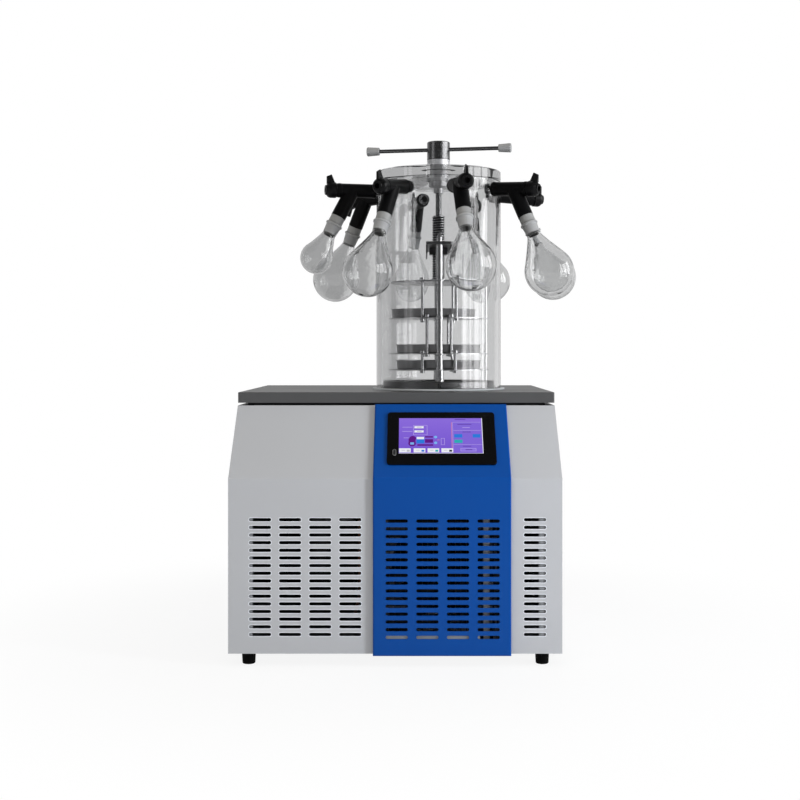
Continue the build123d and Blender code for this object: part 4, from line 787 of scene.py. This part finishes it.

# %% [markdown]
# ## Finish of the thread
# The steel is painted from nearly black at the root of the thread to bright at the
# crest, which is painted shade in the grooves. The distance from the screw's axis tells
# root from crest.

# %% Painted shade in the roots, bright crests
thread_steel = Finish("thread_steel_root_shade", scaled(STEEL, 0.4), 0.3, 1.0)
reach, _ = thread_steel.radius(AXIS_X, AXIS_Y)
# Nearly black at the root and bright at the crest: painted shade in the thread's grooves.
root_to_crest = reach.ramp(screw_r - SCREW_DEPTH * 0.7, screw_r - SCREW_DEPTH * 0.1)
grime = thread_steel.noise(160.0, 3.0)
thread_steel.set(
    Base_Color=thread_steel.blend(root_to_crest, scaled(STEEL, 0.07), scaled(STEEL, 0.95)),
    Roughness=0.5 - 0.28 * root_to_crest + 0.1 * grime,
)
thread_steel.bump(grime, 0.00003, 0.4)
press_thread.data.materials.append(thread_steel.material)
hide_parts("press_screw")
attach(press_thread, "screw")

# %% [markdown]
# ## Frame uprights behind the slots
# Through some slots one sees the pale edges of the cabinet's frame: folded steel
# channels that stand between the base and the knee, and a sill below the opening that
# the blue panel covers. A channel is a box whose back is opened, so each starts as a
# cube, loses its rear face and gets a wall from Solidify.


# %% Folded channel
FOLD_R = 0.0015


def is_front_upright(piece, edge, front):
    """Whether an edge is one of the two long front ones."""
    ends = [piece.data.vertices[index].co for index in edge.vertices]
    in_front = all(abs(end.y - front) < TINY for end in ends)
    return in_front and abs(ends[0].x - ends[1].x) < TINY


def channel(name, low, high, wall):
    """A sheet channel between two corners, open at the back."""
    deselect_all()
    middle = [(a + b) / 2 for a, b in zip(low, high)]
    bpy.ops.mesh.primitive_cube_add(size=1.0, location=middle)
    piece = started(name)
    piece.scale = [b - a for a, b in zip(low, high)]
    settle(piece)
    pick(piece, lambda face: face.normal.y > 0.9)
    bpy.ops.mesh.delete(type="FACE")
    pick(piece, lambda edge: is_front_upright(piece, edge, low[1]), "edges")
    bpy.ops.mesh.bevel(offset=FOLD_R, segments=3)
    bpy.ops.object.mode_set(mode="OBJECT")
    modified(piece, "SOLIDIFY", thickness=wall, offset=-1.0)
    close_up(piece)
    return smooth(piece, 40)


# %% Uprights and sill
UPRIGHT_W = 0.012
UPRIGHT_WALL = 0.0012
BASE_TOP = PANEL_LOW.z + 0.008
KNEE_Z = 0.330
OPENING_Z = (0.050, 0.320)
BEHIND_FRONT = FRONT_Y + 0.0022
BEHIND_BLUE = FRONT_Y + 0.0035
SILL_FACE = FRONT_Y - 0.0055
UPRIGHTS = (
    (-0.2627, BEHIND_FRONT, BASE_TOP, KNEE_Z),
    (0.1637, BEHIND_BLUE, *OPENING_Z),
    (0.264, BEHIND_FRONT, BASE_TOP, KNEE_Z),
)
uprights = []
for number, (offset, face, low, high) in enumerate(UPRIGHTS, start=1):
    side = CABINET_X + offset
    upright = channel(
        f"frame_upright_{number}",
        (side - UPRIGHT_W / 2, face, low),
        (side + UPRIGHT_W / 2, face + UPRIGHT_W, high),
        UPRIGHT_WALL,
    )
    uprights.append(upright)
SILL_IN = (0.012, 0.056)
SILL_LEVELS = (0.0515, 0.0605)
SILL_BACK = FRONT_Y - 0.0005
SILL_WALL = 0.0008
sill = channel(
    "air_opening_sill",
    (BLUE_LOW.x + SILL_IN[0], SILL_FACE, SILL_LEVELS[0]),
    (BLUE_HIGH.x - SILL_IN[1], SILL_BACK, SILL_LEVELS[1]),
    SILL_WALL,
)
zinc_strip = Finish("frame_pale_zinc", tint(150, 152, 154), 0.5, 0.3)
haze = zinc_strip.noise(30.0, 3.0, (1.0, 1.0, 0.3))
zinc_strip.set(
    Base_Color=zinc_strip.blend(haze, tint(122, 124, 126), tint(164, 166, 168)),
    Roughness=0.42 + 0.16 * haze,
)
for piece in (*uprights, sill):
    piece.data.materials.append(zinc_strip.material)
    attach(piece, "root")
print("uprights:", len(uprights), "from", round(BASE_TOP, 3), "to", KNEE_Z)

# %% [markdown]
# ## Port cover on the screen's frame
# A small oval rubber plug covers a data port at the lower left of the screen's frame.
# It is modelled lying flat: a disc is stretched, inset and raised into a rim with a
# dished middle. One matrix then lays it on the sloping frame.

# %% Oval plug on the slope
SLOPE_UP = Vector((0, 1, 1)).normalized()
SLOPE_OUT = Vector((0, -1, 1)).normalized()
NEAR = 0.0002
frame_points = [vertex.co for vertex in NODES["screen_bezel"].data.vertices]
outermost = max(point.dot(SLOPE_OUT) for point in frame_points)
face_points = [point for point in frame_points if point.dot(SLOPE_OUT) > outermost - NEAR]
lowest = min(point.dot(SLOPE_UP) for point in face_points)
leftmost = min(point.x for point in face_points)
FLAP_ACROSS = 0.013
FLAP_UP = 0.0262
FLAP_R = 0.0033
FLAP_RUN = 0.004
FLAP_T = 0.0007
RIM = (0.0007, 0.0003)
DISH = (0.0006, -0.0005)
deselect_all()
bpy.ops.mesh.primitive_circle_add(vertices=48, radius=FLAP_R, fill_type="NGON")
flap = started("port_flap")
pick(flap, lambda vertex: vertex.co.y > 0, "vertices")
bpy.ops.transform.translate(value=(0, FLAP_RUN, 0))
pick(flap, lambda vertex: vertex.co.y < 0, "vertices")
bpy.ops.transform.translate(value=(0, -FLAP_RUN, 0))
bpy.ops.mesh.select_all(action="SELECT")
bpy.ops.mesh.extrude_region_move(TRANSFORM_OT_translate={"value": (0, 0, FLAP_T)})
pick(flap, lambda face: face.normal.z > 0.9 and face.center.z > FLAP_T / 2)
for thickness, depth in (RIM, DISH):
    bpy.ops.mesh.inset(thickness=thickness, depth=depth)
bpy.ops.object.mode_set(mode="OBJECT")
close_up(flap)
spot = SLOPE_OUT * outermost + SLOPE_UP * (lowest + FLAP_UP)
spot.x = leftmost + FLAP_ACROSS
flap.matrix_world = Matrix.Translation(spot) @ Matrix.Rotation(pi / 4, 4, "X")
settle(flap)
smooth(flap, 30)
flap_rubber = moulded("flap_grey_rubber", (0.02, 0.02, 0.021, 1.0), 0.3, 1500.0, 0.00002)
across, along, up_slope = flap_rubber.parts(flap_rubber.place)
across = (across - spot.x) / FLAP_R
along = ((along - spot.y) * SLOPE_UP.y + (up_slope - spot.z) * SLOPE_UP.z) / FLAP_R
along = (abs(along) - FLAP_RUN / FLAP_R).either(0.0)
# The raised rim is painted paler: a painted highlight.
painted_rim_highlight = (across * across + along * along).root().ramp(0.62, 0.95)
flap_rubber.set(
    Base_Color=flap_rubber.blend(painted_rim_highlight, flap_rubber.colour, tint(132, 132, 131))
)
flap.data.materials.append(flap_rubber.material)
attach(flap, "root")
print("port flap:", [round(value, 4) for value in spot])

# %% [markdown]
# ## Panel screws
# Pan-head screws hold the back panel. The head is a short cylinder with a heavily
# bevelled rim, and the cross in it is cut with a Boolean modifier, because two crossed
# bars are easier to build than the recess itself. One pattern is finished first and
# the screws are copies with their own meshes, each turned a little further, so that no
# two crosses line up. The pattern is then removed.

# %% One screw, lying face up
HEAD_R = 0.0042
HEAD_T = 0.0022
HEAD_BEVEL = 0.0014
CROSS = (HEAD_R * 1.15, HEAD_R * 0.2, HEAD_T * 1.1)
deselect_all()
bpy.ops.mesh.primitive_cylinder_add(
    vertices=40, radius=HEAD_R, depth=HEAD_T, location=(0, 0, HEAD_T / 2)
)
screw = started("panel_screw_1")
corners = screw.data.vertices
pick(screw, lambda edge: all(corners[i].co.z > HEAD_T * 0.9 for i in edge.vertices), "edges")
bpy.ops.mesh.bevel(offset=HEAD_BEVEL, segments=5)
bpy.ops.object.mode_set(mode="OBJECT")
cutters = []
for turn_by in (0.0, pi / 2):
    deselect_all()
    bpy.ops.mesh.primitive_cube_add(size=1.0, location=(0, 0, HEAD_T), rotation=(0, 0, turn_by))
    bar = started("cross_bar")
    bar.scale = CROSS
    cutters.append(settle(bar))
for bar in cutters:
    modified(screw, "BOOLEAN", operation="DIFFERENCE", object=bar, solver="EXACT")
for bar in cutters:
    bpy.data.objects.remove(bar)
close_up(screw)
smooth(screw, 35)
screw_zinc = Finish("screw_bright_zinc", (0.5, 0.5, 0.51, 1.0), 0.3, 1.0)
dulled = screw_zinc.noise(420.0, 3.0)
screw_zinc.set(
    Base_Color=screw_zinc.blend(dulled, (0.36, 0.36, 0.37, 1.0), (0.6, 0.6, 0.61, 1.0)),
    Roughness=0.22 + 0.25 * dulled,
)
screw_zinc.bump(dulled, 0.00002, 0.4)
screw.data.materials.append(screw_zinc.material)
print("screw head:", len(screw.data.polygons), "faces")

# %% Screws down both edges of the back
SIDE_IN = 0.288
REAR_ROWS = (0.045, 0.245, 0.445)
TURN_EACH = 0.7
TO_BACK = Matrix.Rotation(-pi / 2, 4, "X")
rear_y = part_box("rear_panel")[1].y
spots = [Vector((CABINET_X + side * SIDE_IN, rear_y, row)) for side in (-1, 1) for row in REAR_ROWS]
for number, spot in enumerate(spots, start=2):
    place = Matrix.Translation(spot) @ TO_BACK @ Matrix.Rotation(number * TURN_EACH, 4, "Z")
    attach(copied(screw, f"panel_screw_{number}", place), "root")
bpy.data.objects.remove(screw)
print("panel screws:", len(spots))

# %% [markdown]
# ## Camera
# The machine is seen square from the front, with the eye level with the foot of the
# chamber. A long lens a little over two metres away keeps the sides of the
# cabinet nearly parallel. The lens is shifted rather than turned, as on a view
# camera, so that upright edges stay upright.

# %% View settings
scene = bpy.context.scene
scene.view_settings.view_transform = "Standard"
GLASS_BOUNCES = 24
GLOSS_BOUNCES = 8
scene.cycles.max_bounces = GLASS_BOUNCES
scene.cycles.transmission_bounces = GLASS_BOUNCES
scene.cycles.glossy_bounces = GLOSS_BOUNCES

# %% Camera
LENS = 57.15
SENSOR = 36.0
SHIFT = (-0.01875, -0.0625)
EYE_ASIDE = 0.0355
EYE_BACK = 2.279
EYE_HEIGHT = 0.570
FAR = 50.0
camera_data = bpy.data.cameras.new("camera")
camera_data.lens = LENS
camera_data.sensor_width = SENSOR
camera_data.shift_x, camera_data.shift_y = SHIFT
camera_data.clip_end = FAR
camera = bpy.data.objects.new("camera", camera_data)
scene.collection.objects.link(camera)
camera.location = (CABINET_X + EYE_ASIDE, FRONT_Y - EYE_BACK, EYE_HEIGHT)
camera.rotation_euler = (pi / 2, 0, 0)
scene.camera = camera

# %% [markdown]
# ## Lights
# Large area lamps stand round the machine like softboxes. The strongest is on the
# right, so it rakes across the front and the proud blue panel throws a soft shadow to
# its left. The others fill the left, the back and, slightly warmer, the top. The lamps
# are hidden from reflections, because a bare lamp in a glass tube is a hard white
# stripe; the world further down supplies what gloss and glass show instead.

# %% Softboxes
MIDDLE = Vector((CABINET_X, 0.0, 0.5))
COOL = (0.93, 0.975, 1.06)
WARM = (1.08, 1.0, 0.9)


def softbox(name, turn, distance, height, width, tall, power, colour=COOL):
    """A soft panel of light, turn degrees round from the front to the right."""
    lamp = bpy.data.lights.new(name, "AREA")
    lamp.shape = "RECTANGLE"
    lamp.size = width
    lamp.size_y = tall
    lamp.energy = power
    lamp.color = colour
    holder = bpy.data.objects.new(name, lamp)
    scene.collection.objects.link(holder)
    turn = radians(turn)
    holder.location = (MIDDLE.x + distance * sin(turn), -distance * cos(turn), height)
    holder.rotation_euler = (MIDDLE - holder.location).to_track_quat("-Z", "Y").to_euler()
    return holder


LAMPS = [
    softbox("key_right", 58, 2.6, 1.0, 0.35, 1.5, 56),
    softbox("fill_left", -38, 2.8, 1.2, 0.9, 1.6, 8),
    softbox("side_left", -105, 2.8, 1.3, 1.0, 1.6, 12),
    softbox("back", 165, 2.8, 1.5, 1.2, 1.6, 20),
    softbox("top", 0, 1.6, 2.6, 1.6, 1.6, 13, WARM),
]
for lamp in LAMPS:
    lamp.visible_glossy = False
    lamp.visible_transmission = False
print("lamps:", len(LAMPS), "watts:", sum(lamp.data.energy for lamp in LAMPS))

# %% [markdown]
# ## World
# The world plays a part for each kind of ray. The camera sees white. Plain surfaces
# get a soft light, cool from the side and warmer from above. Glossy surfaces mirror a
# dark room that grows pale towards the back, with a barred window on the right and a
# small one on the left, because bright bars beside dark are what make steel look like
# steel. Clear parts show the same windows before pale paper with a grey curtain to its
# left, which gives glass its dark outline and grey body.

# %% Rays and the room
world = bpy.data.worlds.new("studio")
scene.world = world
world.use_nodes = True
room = Board(world.node_tree)


def ray_kinds(board):
    """Whether a ray comes from the camera, from a gloss or through something clear."""
    rays = board.node("LightPath")
    return [
        Wire(board, rays.outputs[kind])
        for kind in ("Is Camera Ray", "Is Glossy Ray", "Is Transmission Ray")
    ]


camera_ray, glossy_ray, clear_ray = ray_kinds(room)
rightwards, backwards, upwards = room.parts(room.wire("TexCoord", None, None, output="Generated"))
COOL_LIGHT = (0.282, 0.303, 0.345, 1.0)
WARM_LIGHT = (0.395, 0.38, 0.34, 1.0)
DARK_ROOM = (0.09, 0.09, 0.091, 1.0)
PALE_ROOM = (0.66, 0.66, 0.663, 1.0)
WINDOW = (5.0, 5.0, 5.05, 1.0)
WHITE = (1.0, 1.0, 1.0, 1.0)
turn = room.wire("Math", {"operation": "ARCTAN2"}, {0: rightwards, 1: 0.0 - backwards})
SOFT_EDGE = 1.5
SOFT_END = 0.03


def window(turns, heights, bars):
    """A lit window between two bearings and two heights, with upright bars in it."""
    soft = radians(SOFT_EDGE)
    span = turn.ramp(radians(turns[0]), radians(turns[0]) + soft) * (
        1.0 - turn.ramp(radians(turns[1]) - soft, radians(turns[1]))
    )
    span = span * upwards.ramp(heights[0], heights[0] + SOFT_END) * (
        1.0 - upwards.ramp(heights[1] - SOFT_END, heights[1])
    )
    for bearing in bars:
        span = span * abs(turn - radians(bearing)).ramp(soft * 0.8, soft * 1.6)
    return span


LEFT_SHARE = 0.3
right_window = window((44, 101), (-0.14, 0.5), (56, 66, 84))
left_window = window((-68, -50), (-0.02, 0.3), (-59,))
panes = right_window.either(left_window * LEFT_SHARE)
mirrored = room.blend(backwards.ramp(-0.1, 0.9), DARK_ROOM, PALE_ROOM)
mirrored = room.blend(panes, mirrored, WINDOW)
lower = 1.0 - upwards.ramp(-0.2, 0.1)
PAPER_UPPER = (0.72, 0.72, 0.723, 1.0)
PAPER_LOWER = (0.84, 0.84, 0.843, 1.0)
GREY_CURTAIN = (0.45, 0.45, 0.453, 1.0)
NEAR_ROOM = (0.12, 0.12, 0.122, 1.0)
paper = room.blend(lower, PAPER_UPPER, PAPER_LOWER)
drawn = 1.0 - rightwards.ramp(-0.046, -0.022)
beyond = room.blend(drawn, paper, GREY_CURTAIN)
through = room.blend(backwards.ramp(-0.2, 0.7), NEAR_ROOM, beyond)
through = room.blend(panes, through, WINDOW)
ambient = room.blend(upwards.ramp(-0.1, 0.8), COOL_LIGHT, WARM_LIGHT)
seen = room.blend(glossy_ray, ambient, mirrored)
seen = room.blend(clear_ray, seen, through)
seen = room.blend(camera_ray, seen, WHITE)
room.plug(seen, world.node_tree.nodes["Background"].inputs["Color"])

# %% [markdown]
# ## Floor
# The floor is pale paper. To the camera it is mixed with plain white light, fully so
# at a distance, which hides the horizon and still leaves a faint shadow under the
# machine. In gloss and through glass it is grey like the room.

# %% Paper floor
FLOOR_R = 9.0
GLOW_SHARE = 0.88
FADE = (0.45, 1.1)
DIM = (0.5, 0.5, 0.503, 1.0)
deselect_all()
bpy.ops.mesh.primitive_circle_add(vertices=64, radius=FLOOR_R, fill_type="NGON")
floor = started("floor")
floor_paint = Finish("floor_paper", (0.86, 0.86, 0.86, 1.0), 0.9)
camera_ray, glossy_ray, clear_ray = ray_kinds(floor_paint)
distance, _ = floor_paint.radius(CABINET_X, 0.0)
glow = floor_paint.wire("Emission", None, {"Color": WHITE, "Strength": 1.0})
dim = floor_paint.wire("Emission", None, {"Color": DIM, "Strength": 1.0})
surface = Wire(floor_paint, floor_paint.shader.outputs[0])
share = camera_ray * (GLOW_SHARE + (1.0 - GLOW_SHARE) * distance.ramp(*FADE))
lit = floor_paint.wire("MixShader", None, {0: share, 1: surface, 2: glow})
mixed = floor_paint.wire("MixShader", None, {0: glossy_ray.either(clear_ray), 1: lit, 2: dim})
floor_paint.plug(mixed, floor_paint.tree.nodes["Material Output"].inputs["Surface"])
floor.data.materials.append(floor_paint.material)
